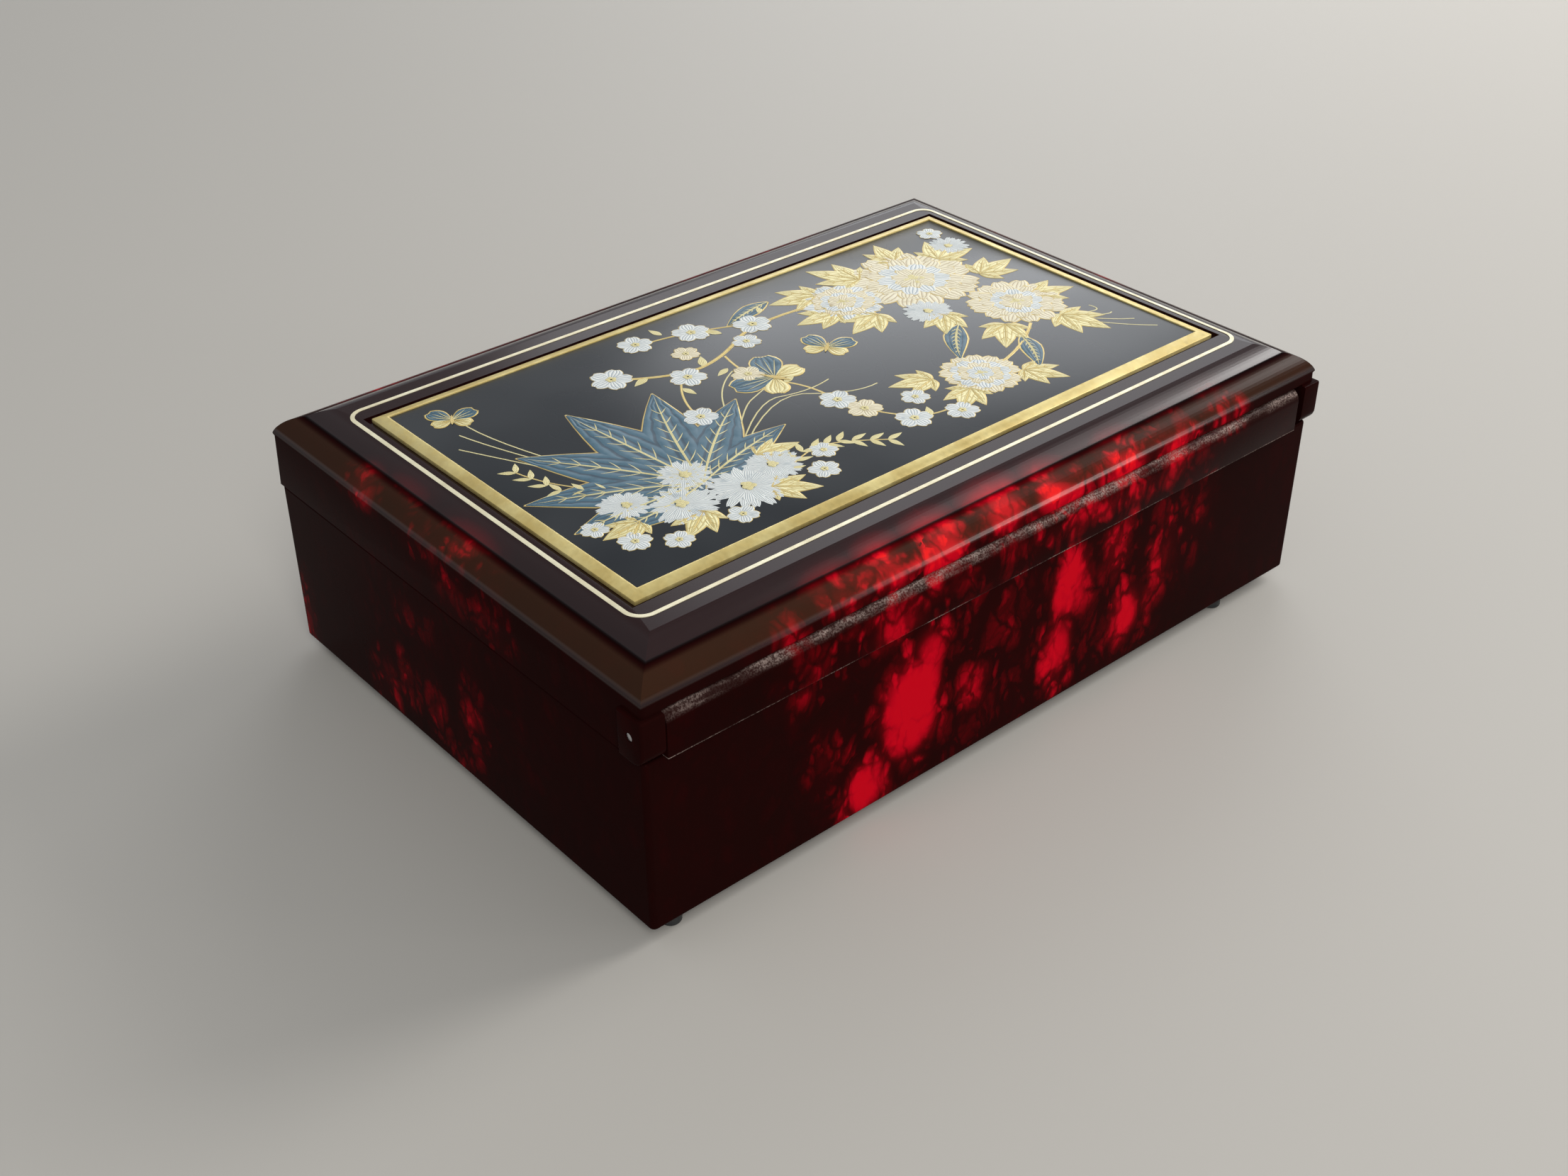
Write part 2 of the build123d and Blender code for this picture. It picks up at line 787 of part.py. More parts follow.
with BuildPart() as rear_partition:
    box_between(
        (rear_split_x, -wall_y, room_z),
        (rear_split_x + board, row_y - liner_fit, rear_split_top_z),
    )
rear_partition.part.label = "rear_partition"
export_step(rear_partition.part, "parts/rear_partition.step")

# The ring bed fills the long front compartment, and the rolls stand on it
bed_low = (bed_fit - room_x, row_front_y + bed_fit)
bed_high = (bay_x - bed_fit, room_y - bed_fit)
with BuildPart() as ring_bed:
    box_between((*bed_low, room_z), (*bed_high, bed_top_z))
    box_between(
        (bed_low[0] + bed_wall, bed_low[1] + bed_wall, room_z),
        (bed_high[0] - bed_wall, bed_high[1] - bed_wall, bed_top_z - bed_wall),
        mode=Mode.SUBTRACT,
    )
ring_bed.part.label = "ring_bed"
export_step(ring_bed.part, "parts/ring_bed.step")

roll_pitch = (bed_high[1] - bed_low[1]) / roll_count
roll_half = (roll_pitch - roll_gap) / 2
roll_length = bed_high[0] - bed_low[0] - 2 * roll_end_gap
roll_start_x = bed_low[0] + roll_end_gap
roll_places = [(0, bed_low[1] + (number + 0.5) * roll_pitch, 0) for number in range(roll_count)]

# One ring roll, its sides drawn in at the foot and shoulder and its back rounded
with BuildPart() as roll_form:
    with BuildSketch(Plane.YZ.offset(roll_start_x)):
        with BuildLine():
            narrow = roll_half - roll_drawn_in
            shoulder_height = bed_top_z + roll_shoulder
            Line((-narrow, bed_top_z), (narrow, bed_top_z))
            ThreePointArc(
                (narrow, bed_top_z),
                (roll_half, bed_top_z + roll_shoulder / 2),
                (narrow, shoulder_height),
            )
            ThreePointArc((narrow, shoulder_height), (0, bed_top_z + roll_height), (-narrow, shoulder_height))
            ThreePointArc(
                (-narrow, shoulder_height),
                (-roll_half, bed_top_z + roll_shoulder / 2),
                (-narrow, bed_top_z),
            )
        make_face()
    extrude(amount=roll_length)
    roll_middle_x = roll_start_x + roll_length / 2
    with BuildSketch(Plane((roll_middle_x, 0, bed_top_z))):
        RectangleRounded(roll_length, 2 * roll_half, roll_end_radius)
    extrude(amount=roll_height, mode=Mode.INTERSECT)
    with BuildSketch(Plane.XZ.offset(-roll_half)) as roll_elevation:
        with Locations((roll_middle_x, bed_top_z)):
            Rectangle(roll_length, roll_height, align=(Align.CENTER, Align.MIN))
        fillet(roll_elevation.vertices().group_by(Axis.Y)[-1], radius=roll_top_radius)
    extrude(amount=2 * roll_half, mode=Mode.INTERSECT)

with BuildPart() as ring_roll_1:
    with Locations(roll_places[0]):
        add(roll_form.part)
ring_roll_1.part.label = "ring_roll_1"
export_step(ring_roll_1.part, "parts/ring_roll_1.step")

with BuildPart() as ring_roll_2:
    with Locations(roll_places[1]):
        add(roll_form.part)
ring_roll_2.part.label = "ring_roll_2"
export_step(ring_roll_2.part, "parts/ring_roll_2.step")

with BuildPart() as ring_roll_3:
    with Locations(roll_places[2]):
        add(roll_form.part)
ring_roll_3.part.label = "ring_roll_3"
export_step(ring_roll_3.part, "parts/ring_roll_3.step")

with BuildPart() as ring_roll_4:
    with Locations(roll_places[3]):
        add(roll_form.part)
ring_roll_4.part.label = "ring_roll_4"
export_step(ring_roll_4.part, "parts/ring_roll_4.step")

with BuildPart() as ring_roll_5:
    with Locations(roll_places[4]):
        add(roll_form.part)
ring_roll_5.part.label = "ring_roll_5"
export_step(ring_roll_5.part, "parts/ring_roll_5.step")

with BuildPart() as ring_roll_6:
    with Locations(roll_places[5]):
        add(roll_form.part)
ring_roll_6.part.label = "ring_roll_6"
export_step(ring_roll_6.part, "parts/ring_roll_6.step")

opening_low = (bay_x + window_band, window_rear_y + window_band)
opening_high = (window_right_x - window_band, row_front_y - window_band)
with BuildPart() as window_frame:
    box_between(
        (bay_x, window_rear_y, liner_top_z),
        (window_right_x, row_front_y, liner_top_z + window_thickness),
    )
    fillet(window_frame.faces().sort_by(Axis.Z)[-1].edges(), radius=window_edge)
    with BuildSketch(Plane.XY.offset(liner_top_z)):
        with Locations(((opening_low[0] + opening_high[0]) / 2, (opening_low[1] + opening_high[1]) / 2)):
            RectangleRounded(opening_high[0] - opening_low[0], opening_high[1] - opening_low[1], window_corner)
        with Locations((worm_place[0], plunger_y)):
            Circle(bushing_radius + pin_press)
    extrude(amount=window_thickness, mode=Mode.SUBTRACT)
    box_between(
        (opening_low[0] - pane_lap, opening_low[1] - pane_lap, liner_top_z),
        (opening_high[0] + pane_lap, opening_high[1] + pane_lap, liner_top_z + pane_thickness),
        mode=Mode.SUBTRACT,
    )
window_frame.part.label = "window_frame"
export_step(window_frame.part, "parts/window_frame.step")

with BuildPart() as window_pane:
    reach = pane_lap - pane_fit
    box_between(
        (opening_low[0] - reach, opening_low[1] - reach, liner_top_z),
        (opening_high[0] + reach, opening_high[1] + reach, liner_top_z + pane_thickness),
    )
window_pane.part.label = "window_pane"
export_step(window_pane.part, "parts/window_pane.step")

window_top_z = liner_top_z + window_thickness
with BuildPart() as plunger_bushing:
    with BuildSketch(Plane((worm_place[0], plunger_y, liner_top_z))):
        Circle(bushing_radius)
    extrude(amount=window_thickness)
    with BuildSketch(Plane((worm_place[0], plunger_y, window_top_z))):
        Circle(bushing_flange)
    extrude(amount=bushing_flange_height)
    with BuildSketch(Plane((worm_place[0], plunger_y, liner_top_z))):
        Circle(plunger_radius + plunger_fit)
    extrude(amount=window_thickness + bushing_flange_height, mode=Mode.SUBTRACT)
plunger_bushing.part.label = "plunger_bushing"
export_step(plunger_bushing.part, "parts/plunger_bushing.step")

# The plunger's tab stops the fan while the shut lid holds the plunger down
tab_z = bed_z + fan_bottom + fan_height + fan_gap
with BuildPart() as stop_plunger:
    with BuildSketch(Plane((worm_place[0], plunger_y, tab_z))):
        Circle(plunger_radius)
    extrude(amount=plunger_top_z - tab_z)
    with BuildSketch(Plane((worm_place[0], plunger_y, plunger_top_z - plunger_head_height))):
        Circle(plunger_head_radius)
    extrude(amount=plunger_head_height)
    chamfer(stop_plunger.edges().group_by(Axis.Z)[-1], length=plunger_head_height / 3)
    box_between(
        (worm_place[0] - plunger_tab_width / 2, plunger_y - plunger_tab_reach, tab_z),
        (worm_place[0] + plunger_tab_width / 2, plunger_y, tab_z + plunger_tab_thickness),
    )
stop_plunger.part.label = "stop_plunger"
export_step(stop_plunger.part, "parts/stop_plunger.step")

with BuildPart() as winding_key:
    with BuildSketch(Plane((barrel_x, barrel_y, key_hub_bottom_z))):
        Circle(key_hub_radius)
    extrude(amount=key_hub_top_z - key_hub_bottom_z)
    wing_plane = Plane(origin=(barrel_x, barrel_y + key_thickness / 2, key_wing_z), x_dir=(1, 0, 0), z_dir=(0, -1, 0))
    with BuildSketch(wing_plane):
        Rectangle(2 * key_wing_x, key_bar_height)
        with Locations((-key_wing_x, 0), (key_wing_x, 0)):
            Circle(key_wing_radius)
    extrude(amount=key_thickness)
    with BuildSketch(wing_plane):
        with Locations((-key_wing_x, 0), (key_wing_x, 0)):
            Circle(key_wing_hole)
    extrude(amount=key_thickness, mode=Mode.SUBTRACT)
    with BuildSketch(Plane((barrel_x, barrel_y, arbor_bottom_z))):
        Circle(arbor_radius + shaft_fit)
    extrude(amount=key_hub_top_z - arbor_bottom_z, mode=Mode.SUBTRACT)
winding_key.part.label = "winding_key"
export_step(winding_key.part, "parts/winding_key.step")

with BuildPart() as winding_arbor:
    with BuildSketch(Plane((barrel_x, barrel_y, arbor_bottom_z))):
        Circle(arbor_radius)
    extrude(amount=bed_z + arbor_top - arbor_bottom_z)
    with BuildSketch(level(0, 0, arbor_top - head_slot_depth)):
        Rectangle(2 * arbor_radius, screw_slot)
    extrude(amount=head_slot_depth, mode=Mode.SUBTRACT)
winding_arbor.part.label = "winding_arbor"
export_step(winding_arbor.part, "parts/winding_arbor.step")

with BuildPart() as bedplate:
    bed_middle_s = (bed_rear_s + bed_front_s) / 2
    with BuildSketch(level(0, bed_middle_s, 0)):
        RectangleRounded(2 * bed_half_x, bed_front_s - bed_rear_s, bed_corner)
    extrude(amount=bed_thickness)
    with BuildSketch(level(0, 0, bed_thickness)):
        Circle(boss_radius)
    extrude(amount=boss_top - bed_thickness)
    for start_s, width in ((upright_rear_s, upright_rear_width), (upright_front_s, upright_front_width)):
        with BuildSketch(across(0, start_s)):
            Circle(upright_half)
            Rectangle(2 * upright_half, axis_height - bed_thickness, align=(Align.CENTER, Align.MIN))
        extrude(amount=width)
        with BuildSketch(across(0, start_s)):
            Circle(shaft_radius + bearing_fit)
        extrude(amount=width, mode=Mode.SUBTRACT)
    with BuildSketch(level(0, 0, 0)):
        Circle(arbor_radius + arbor_fit)
        with Locations(*[(x - barrel_x, y - barrel_y) for x, y in post_places]):
            Circle(screw_radius + screw_fit)
    extrude(amount=boss_top, mode=Mode.SUBTRACT)
    with BuildSketch(level(0, 0, small_screw_bottom)):
        with Locations(*[(comb_screw_x, s) for s in comb_screw_s]):
            Circle(comb_screw_radius + small_screw_fit)
        with Locations(*governor_screw_places):
            Circle(governor_screw_radius + small_screw_fit)
    extrude(amount=bed_thickness - small_screw_bottom, mode=Mode.SUBTRACT)
bedplate.part.label = "bedplate"
export_step(bedplate.part, "parts/bedplate.step")

with BuildPart() as movement_screws:
    head_z = foot_height + screw_slot
    with BuildSketch(Plane.XY.offset(head_z)):
        with Locations(*post_places):
            Circle(screw_head_radius)
    extrude(amount=screw_head_height)
    with BuildSketch(Plane.XY.offset(head_z + screw_head_height)):
        with Locations(*post_places):
            Circle(screw_radius)
    extrude(amount=bed_z + bed_thickness - screw_slot - head_z - screw_head_height)
movement_screws.part.label = "movement_screws"
export_step(movement_screws.part, "parts/movement_screws.step")

with BuildPart() as spring_barrel:
    with BuildSketch(level(0, 0, crown_bottom)):
        Circle(crown_pitch_radius + crown_face / 2)
    extrude(amount=crown_root - crown_bottom)
    with BuildSketch(level(0, 0, crown_root)):
        with PolarLocations(crown_pitch_radius, crown_teeth):
            Rectangle(crown_face, crown_tooth_width)
    extrude(amount=crown_tip - crown_root, taper=crown_taper)
    with BuildSketch(level(0, 0, crown_root)):
        Circle(drum_radius)
    extrude(amount=drum_top - crown_root)
    with BuildSketch(level(0, 0, drum_floor)):
        Circle(drum_radius - drum_wall)
    extrude(amount=drum_top - drum_floor, mode=Mode.SUBTRACT)
    with BuildSketch(level(0, 0, crown_bottom)):
        Circle(arbor_radius + arbor_fit)
    extrude(amount=drum_floor - crown_bottom, mode=Mode.SUBTRACT)
spring_barrel.part.label = "spring_barrel"
export_step(spring_barrel.part, "parts/spring_barrel.step")

with BuildPart() as barrel_cap:
    with BuildSketch(level(0, 0, drum_top)):
        Circle(drum_radius)
    extrude(amount=cap_thickness)
    with BuildSketch(level(0, 0, drum_top - cap_step)):
        Circle(drum_radius - drum_wall - inlay_fit)
    extrude(amount=cap_step)
    with BuildSketch(level(0, 0, drum_top - cap_step)):
        Circle(arbor_radius + arbor_fit)
    extrude(amount=cap_step + cap_thickness, mode=Mode.SUBTRACT)
barrel_cap.part.label = "barrel_cap"
export_step(barrel_cap.part, "parts/barrel_cap.step")

with BuildPart() as cylinder_arbor:
    with BuildSketch(across(0, shaft_start_s)):
        Circle(shaft_radius)
    extrude(amount=shaft_end_s - shaft_start_s)
cylinder_arbor.part.label = "cylinder_arbor"
export_step(cylinder_arbor.part, "parts/cylinder_arbor.step")

with BuildPart() as cylinder_pinion:
    with BuildSketch(across(0, pinion_s)):
        with BuildLine():
            outline = gear_outline(pinion_teeth, pinion_root, pinion_tip, 0.5, 0.2, phase=180 / pinion_teeth)
            Polyline(*outline, close=True)
        make_face()
        Circle(shaft_radius + shaft_fit, mode=Mode.SUBTRACT)
    extrude(amount=pinion_width)
cylinder_pinion.part.label = "cylinder_pinion"
export_step(cylinder_pinion.part, "parts/cylinder_pinion.step")

with BuildPart() as pinned_cylinder:
    with BuildSketch(across(0, cylinder_start_s)):
        Circle(cylinder_radius)
    extrude(amount=cylinder_end_s - cylinder_start_s)
    for track in range(track_count):
        with BuildSketch(across(0, track_start_s + track * track_pitch - music_pin / 2)):
            for pin in range(track_pins):
                turn = track * track_turn + pin * 360 / track_pins * (1 + 0.1 * math.sin(track + pin))
                with PolarLocations(cylinder_radius, 1, start_angle=turn):
                    Rectangle(2 * music_pin_height, music_pin)
        extrude(amount=music_pin)
    with BuildSketch(across(0, cylinder_start_s)):
        Circle(shaft_radius + shaft_fit)
    extrude(amount=cylinder_end_s - cylinder_start_s, mode=Mode.SUBTRACT)
pinned_cylinder.part.label = "pinned_cylinder"
export_step(pinned_cylinder.part, "parts/pinned_cylinder.step")

with BuildPart() as cylinder_wheel:
    with BuildSketch(across(0, wheel_s)):
        with BuildLine():
            Polyline(*gear_outline(wheel_teeth, wheel_root, wheel_tip, 0.6, 0.22), close=True)
        make_face()
        Circle(shaft_radius + shaft_fit, mode=Mode.SUBTRACT)
    extrude(amount=wheel_width)
cylinder_wheel.part.label = "cylinder_wheel"
export_step(cylinder_wheel.part, "parts/cylinder_wheel.step")

with BuildPart() as comb_bar:
    middle_s = (comb_start_s + comb_end_s) / 2
    bar_width = comb_root_x - comb_back_x
    with BuildSketch(level((comb_root_x + comb_back_x) / 2, middle_s, bed_thickness)):
        Rectangle(bar_width, comb_end_s - comb_start_s)
    extrude(amount=comb_bottom - bed_thickness)
    with BuildSketch(level(comb_screw_x, 0, bed_thickness)):
        with Locations(*[(0, s) for s in comb_screw_s]):
            Circle(comb_screw_radius + small_screw_fit)
    extrude(amount=comb_bottom - bed_thickness, mode=Mode.SUBTRACT)
comb_bar.part.label = "comb_bar"
export_step(comb_bar.part, "parts/comb_bar.step")

# The teeth grow shorter from the low notes to the high ones
with BuildPart() as comb:
    teeth_start_s = track_start_s - track_pitch / 2
    teeth_width = track_count * track_pitch
    with BuildSketch(level(0, 0, comb_bottom)):
        with Locations((comb_back_x, comb_start_s)):
            Rectangle(comb_root_x - comb_back_x, comb_end_s - comb_start_s, align=(Align.MIN, Align.MIN))
        with Locations((comb_root_x, teeth_start_s)):
            Rectangle(comb_tip_x - comb_root_x, teeth_width, align=(Align.MIN, Align.MIN))
        for slot in range(1, track_count):
            slot_length = comb_long_slot + (comb_short_slot - comb_long_slot) * (slot - 1) / (track_count - 2)
            with Locations((comb_tip_x, teeth_start_s + slot * track_pitch)):
                Rectangle(slot_length, comb_slot, align=(Align.MAX, Align.CENTER), mode=Mode.SUBTRACT)
        with Locations(*[(comb_screw_x, s) for s in comb_screw_s]):
            Circle(comb_screw_radius + small_screw_fit, mode=Mode.SUBTRACT)
    extrude(amount=comb_thickness)
    box_between(
        (barrel_x + comb_root_x, barrel_y + comb_start_s, bed_z + comb_bottom),
        (barrel_x + comb_tip_x, barrel_y + comb_end_s, bed_z + comb_bottom + comb_relief),
        mode=Mode.SUBTRACT,
    )
comb.part.label = "comb"
export_step(comb.part, "parts/comb.step")

with BuildPart() as comb_screws:
    comb_top = comb_bottom + comb_thickness
    places = [(0, s) for s in comb_screw_s]
    with BuildSketch(level(comb_screw_x, 0, small_screw_bottom)):
        with Locations(*places):
            Circle(comb_screw_radius)
    extrude(amount=comb_top - small_screw_bottom)
    with BuildSketch(level(comb_screw_x, 0, comb_top)):
        with Locations(*places):
            Circle(comb_head_radius)
    extrude(amount=comb_head_height)
    with BuildSketch(level(comb_screw_x, 0, comb_top + comb_head_height - head_slot_depth)):
        with Locations(*places):
            Rectangle(2 * comb_head_radius, head_slot_width)
    extrude(amount=head_slot_depth, mode=Mode.SUBTRACT)
comb_screws.part.label = "comb_screws"
export_step(comb_screws.part, "parts/comb_screws.step")

with BuildPart() as governor_arbor:
    with BuildSketch(across(governor_x, governor_start_s)):
        Circle(governor_shaft)
    extrude(amount=governor_end_s - governor_start_s)
    with BuildSketch(across(governor_x, wheel_s)):
        with BuildLine():
            Polyline(*gear_outline(leaf_teeth, leaf_root, leaf_tip, 0.5, 0.22, phase=180 / leaf_teeth), close=True)
        make_face()
    extrude(amount=wheel_width)
governor_arbor.part.label = "governor_arbor"
export_step(governor_arbor.part, "parts/governor_arbor.step")

with BuildPart() as worm_wheel:
    with BuildSketch(across(governor_x, worm_s - screw_wheel_width / 2)):
        with BuildLine():
            Polyline(*gear_outline(screw_wheel_teeth, screw_wheel_root, screw_wheel_tip, 0.55, 0.2), close=True)
        make_face()
    extrude(amount=screw_wheel_width)
    with BuildSketch(across(governor_x, worm_s - screw_wheel_hub_half)):
        Circle(screw_wheel_hub)
    extrude(amount=2 * screw_wheel_hub_half)
    with BuildSketch(across(governor_x, worm_s - screw_wheel_hub_half)):
        Circle(governor_shaft + shaft_fit)
    extrude(amount=2 * screw_wheel_hub_half, mode=Mode.SUBTRACT)
worm_wheel.part.label = "worm_wheel"
export_step(worm_wheel.part, "parts/worm_wheel.step")

# The two threads of the worm meet the wheel half a tooth away from the tooth that faces them
with BuildPart() as worm_spindle:
    mesh_rise = axis_height + lead / worm_starts / 2 - worm_bottom
    thread_start = 180 - 360 * mesh_rise / lead
    root_half = worm_root_thickness / lead * 180
    tip_half = worm_tip_thickness / lead * 180
    section_corners = []
    for start in range(worm_starts):
        middle = start * 360 / worm_starts
        section_corners += [(worm_root, middle - root_half), (worm_tip, middle - tip_half)]
        section_corners += [(worm_tip, middle + tip_half), (worm_root, middle + root_half)]
    section_count = math.ceil(360 * worm_length / lead / worm_step)
    sections = []
    for number in range(section_count + 1):
        rise = worm_length * number / section_count
        section_plane = level(worm_x, worm_s, worm_bottom + rise)
        section_turn = thread_start + 360 * rise / lead
        sections.append(
            [
                section_plane.from_local_coords(
                    (r * math.cos(math.radians(a + section_turn)), r * math.sin(math.radians(a + section_turn)))
                )
                for r, a in section_corners
            ]
        )
    facets = [Face(Wire.make_polygon(sections[0])), Face(Wire.make_polygon(sections[-1]))]
    for lower, upper in zip(sections, sections[1:]):
        for corner in range(len(lower)):
            facets.append(Face(Wire.make_polygon([lower[corner - 1], lower[corner], upper[corner - 1]])))
            facets.append(Face(Wire.make_polygon([lower[corner], upper[corner], upper[corner - 1]])))
    add(Solid(Shell(facets)))
    for shaft_bottom, shaft_top in [(spindle_bottom, worm_bottom), (worm_bottom + worm_length, spindle_top)]:
        with BuildSketch(level(worm_x, worm_s, shaft_bottom)):
            Circle(spindle_radius)
        extrude(amount=shaft_top - shaft_bottom)
    for pivot_foot, pivot_tip in [(pivot_bottom, spindle_bottom), (spindle_top, pivot_top)]:
        with BuildSketch(level(worm_x, worm_s, pivot_foot)):
            Circle(pivot_radius)
        extrude(amount=pivot_tip - pivot_foot)
worm_spindle.part.label = "worm_spindle"
export_step(worm_spindle.part, "parts/worm_spindle.step")

with BuildPart() as air_fan:
    with BuildSketch(level(worm_x, worm_s, fan_bottom)):
        Rectangle(2 * fan_radius, fan_blade)
        Rectangle(fan_blade, 2 * fan_radius)
        Circle(fan_hub)
        Circle(spindle_radius + shaft_fit, mode=Mode.SUBTRACT)
    extrude(amount=fan_height)
air_fan.part.label = "air_fan"
export_step(air_fan.part, "parts/air_fan.step")

with BuildPart() as governor_bracket:
    def bracket_block(low, high):
        """A block of the bracket, in offsets from the barrel axis and heights over the bed."""
        box_between(
            (barrel_x + low[0], barrel_y + low[1], bed_z + low[2]),
            (barrel_x + high[0], barrel_y + high[1], bed_z + high[2]),
        )

    bracket_top = bed_thickness + bracket_thickness
    bracket_block((bracket_start_x, bracket_start_s, bed_thickness), (bracket_end_x, bracket_end_s, bracket_top))
    for start_s in (bracket_start_s, bracket_end_s - bracket_thickness):
        bracket_block(
            (bracket_start_x, start_s, bracket_top),
            (cheek_end_x, start_s + bracket_thickness, cheek_top),
        )
    bracket_block((bridge_post_x, bridge_post_s[0], bracket_top), (bracket_end_x, bridge_post_s[1], bridge_top))
    bracket_block((bridge_x, bridge_s[0], bridge_bottom), (bracket_end_x, bridge_s[1], bridge_top))
    with BuildSketch(across(governor_x, bracket_start_s)):
        Circle(governor_shaft + governor_fit)
    extrude(amount=bracket_end_s - bracket_start_s, mode=Mode.SUBTRACT)
    with BuildSketch(level(worm_x, worm_s, bed_thickness)):
        Circle(pivot_radius + pivot_fit)
    extrude(amount=bridge_top - bed_thickness, mode=Mode.SUBTRACT)
    with BuildSketch(level(0, 0, bed_thickness)):
        with Locations(*governor_screw_places):
            Circle(governor_screw_radius + small_screw_fit)
    extrude(amount=bracket_thickness, mode=Mode.SUBTRACT)
governor_bracket.part.label = "governor_bracket"
export_step(governor_bracket.part, "parts/governor_bracket.step")

with BuildPart() as governor_screws:
    with BuildSketch(level(0, 0, small_screw_bottom)):
        with Locations(*governor_screw_places):
            Circle(governor_screw_radius)
    extrude(amount=bracket_top - small_screw_bottom)
    with BuildSketch(level(0, 0, bracket_top)):
        with Locations(*governor_screw_places):
            Circle(governor_head_radius)
    extrude(amount=governor_head_height)
    with BuildSketch(level(0, 0, bracket_top + governor_head_height - head_slot_depth)):
        with Locations(*governor_screw_places):
            Rectangle(2 * governor_head_radius, head_slot_width)
    extrude(amount=head_slot_depth, mode=Mode.SUBTRACT)
governor_screws.part.label = "governor_screws"
export_step(governor_screws.part, "parts/governor_screws.step")
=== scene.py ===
# %% [markdown]
# # A musical jewellery box in ruby plastic
# The box stands shut on a pale floor and is seen from its hinge side. Its moulded shell is a deep
# ruby plastic with dark tortoiseshell clouds, and the lid carries a slate panel in a gold border.
# Inside there are velvet compartments, ring rolls, a mirror and a small musical movement.
# The measured model is loaded first. Everything made below is in metres, in its frame, and a size
# written in millimetres is multiplied by MM.

# %% Load the measured frame
import math
import random

import bpy
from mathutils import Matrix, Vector


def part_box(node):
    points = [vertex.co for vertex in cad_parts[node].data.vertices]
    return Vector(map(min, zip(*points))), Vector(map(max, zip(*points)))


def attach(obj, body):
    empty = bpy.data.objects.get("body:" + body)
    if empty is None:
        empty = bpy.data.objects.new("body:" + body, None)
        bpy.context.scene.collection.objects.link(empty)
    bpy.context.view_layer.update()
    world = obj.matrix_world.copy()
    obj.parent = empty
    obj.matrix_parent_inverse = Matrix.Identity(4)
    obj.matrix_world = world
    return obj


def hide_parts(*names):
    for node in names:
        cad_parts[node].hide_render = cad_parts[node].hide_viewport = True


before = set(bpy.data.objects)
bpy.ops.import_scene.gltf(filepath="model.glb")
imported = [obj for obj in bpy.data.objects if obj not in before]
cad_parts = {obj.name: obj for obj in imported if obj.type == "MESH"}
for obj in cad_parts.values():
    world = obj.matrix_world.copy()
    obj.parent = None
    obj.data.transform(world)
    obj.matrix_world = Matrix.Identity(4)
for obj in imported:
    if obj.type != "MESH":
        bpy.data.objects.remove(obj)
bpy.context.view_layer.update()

MM = 0.001

# %% [markdown]
# ## Working by hand, in code
# Each operator acts on whatever is selected, so every step begins with nothing selected and then
# picks the faces or edges it needs by where they lie. These few helpers do what a hand does in
# edit mode: choose faces, choose edges and round them.

# %% Selecting
def leave_edit():
    bpy.ops.object.mode_set(mode="OBJECT")


def nothing_selected():
    if bpy.context.object and bpy.context.object.mode != "OBJECT":
        leave_edit()
    bpy.ops.object.select_all(action="DESELECT")


def work_on(piece):
    nothing_selected()
    piece.select_set(True)
    bpy.context.view_layer.objects.active = piece


def pick(piece, faces=None, edges=None):
    """Edit mode, with only the faces or edges selected that pass the test."""
    work_on(piece)
    bpy.ops.object.mode_set(mode="EDIT")
    bpy.ops.mesh.select_mode(type="FACE" if faces else "EDGE")
    bpy.ops.mesh.select_all(action="DESELECT")
    leave_edit()
    mesh = piece.data
    if faces:
        for face in mesh.polygons:
            face.select = bool(faces(face.center, face.normal))
    if edges:
        for edge in mesh.edges:
            ends = [mesh.vertices[i].co for i in edge.vertices]
            edge.select = bool(edges(*ends))
    bpy.ops.object.mode_set(mode="EDIT")


def everything(*where):
    """A test that each face passes."""
    return True


def both(test):
    """A test for an edge whose two ends pass the same test."""
    return lambda a, b: test(a) and test(b)


def round_edges(piece, edges, radius, segments):
    """Bevels only the edges that pass the test. The radius is in millimetres."""
    pick(piece, edges=edges)
    bpy.ops.mesh.bevel(offset=radius * MM, segments=segments)
    leave_edit()


print("ready to select on", len(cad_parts), "measured pieces")

# %% [markdown]
# A piece is often one solid cut out of another, or two joined. When its shape is done, its place
# and size go into its mesh, its curves are shaded smooth, and it is hung on the body it moves
# with.

# %% Making and finishing
def put_down(piece):
    """Back to object mode, with the piece's place and size kept in its mesh."""
    work_on(piece)
    bpy.ops.object.transform_apply(location=True, rotation=True, scale=True)


def block(name, low, high):
    """A cube drawn between two corners given in millimetres."""
    nothing_selected()
    middle = [(a + b) / 2 * MM for a, b in zip(low, high)]
    bpy.ops.mesh.primitive_cube_add(size=1, location=middle)
    piece = bpy.context.object
    piece.name = name
    piece.scale = [(b - a) * MM for a, b in zip(low, high)]
    put_down(piece)
    return piece


def round_bar(radius, length, middle, vertices, lying=False):
    """A cylinder in metres, upright or lying along the box."""
    nothing_selected()
    turned = (0, math.pi / 2 if lying else 0, 0)
    bpy.ops.mesh.primitive_cylinder_add(
        vertices=vertices, radius=radius, depth=length, location=middle, rotation=turned
    )
    piece = bpy.context.object
    put_down(piece)
    return piece


def extrude_up(rise):
    """Draws the selected faces out by a height in millimetres, or in when it is below zero."""
    bpy.ops.mesh.extrude_region_move(TRANSFORM_OT_translate={"value": (0, 0, rise * MM)})


def resize(share_x, share_y):
    """Shrinks what is selected towards the middle of the box, and keeps its height."""
    bpy.ops.transform.resize(value=(share_x, share_y, 1), center_override=(0, 0, 0))


def faces_outward():
    """Turns every face of the selected mesh to look outwards."""
    bpy.ops.mesh.select_all(action="SELECT")
    bpy.ops.mesh.normals_make_consistent(inside=False)
    leave_edit()


def smooth(piece, degrees=28):
    work_on(piece)
    bpy.ops.object.shade_smooth_by_angle(angle=math.radians(degrees), keep_sharp_edges=True)


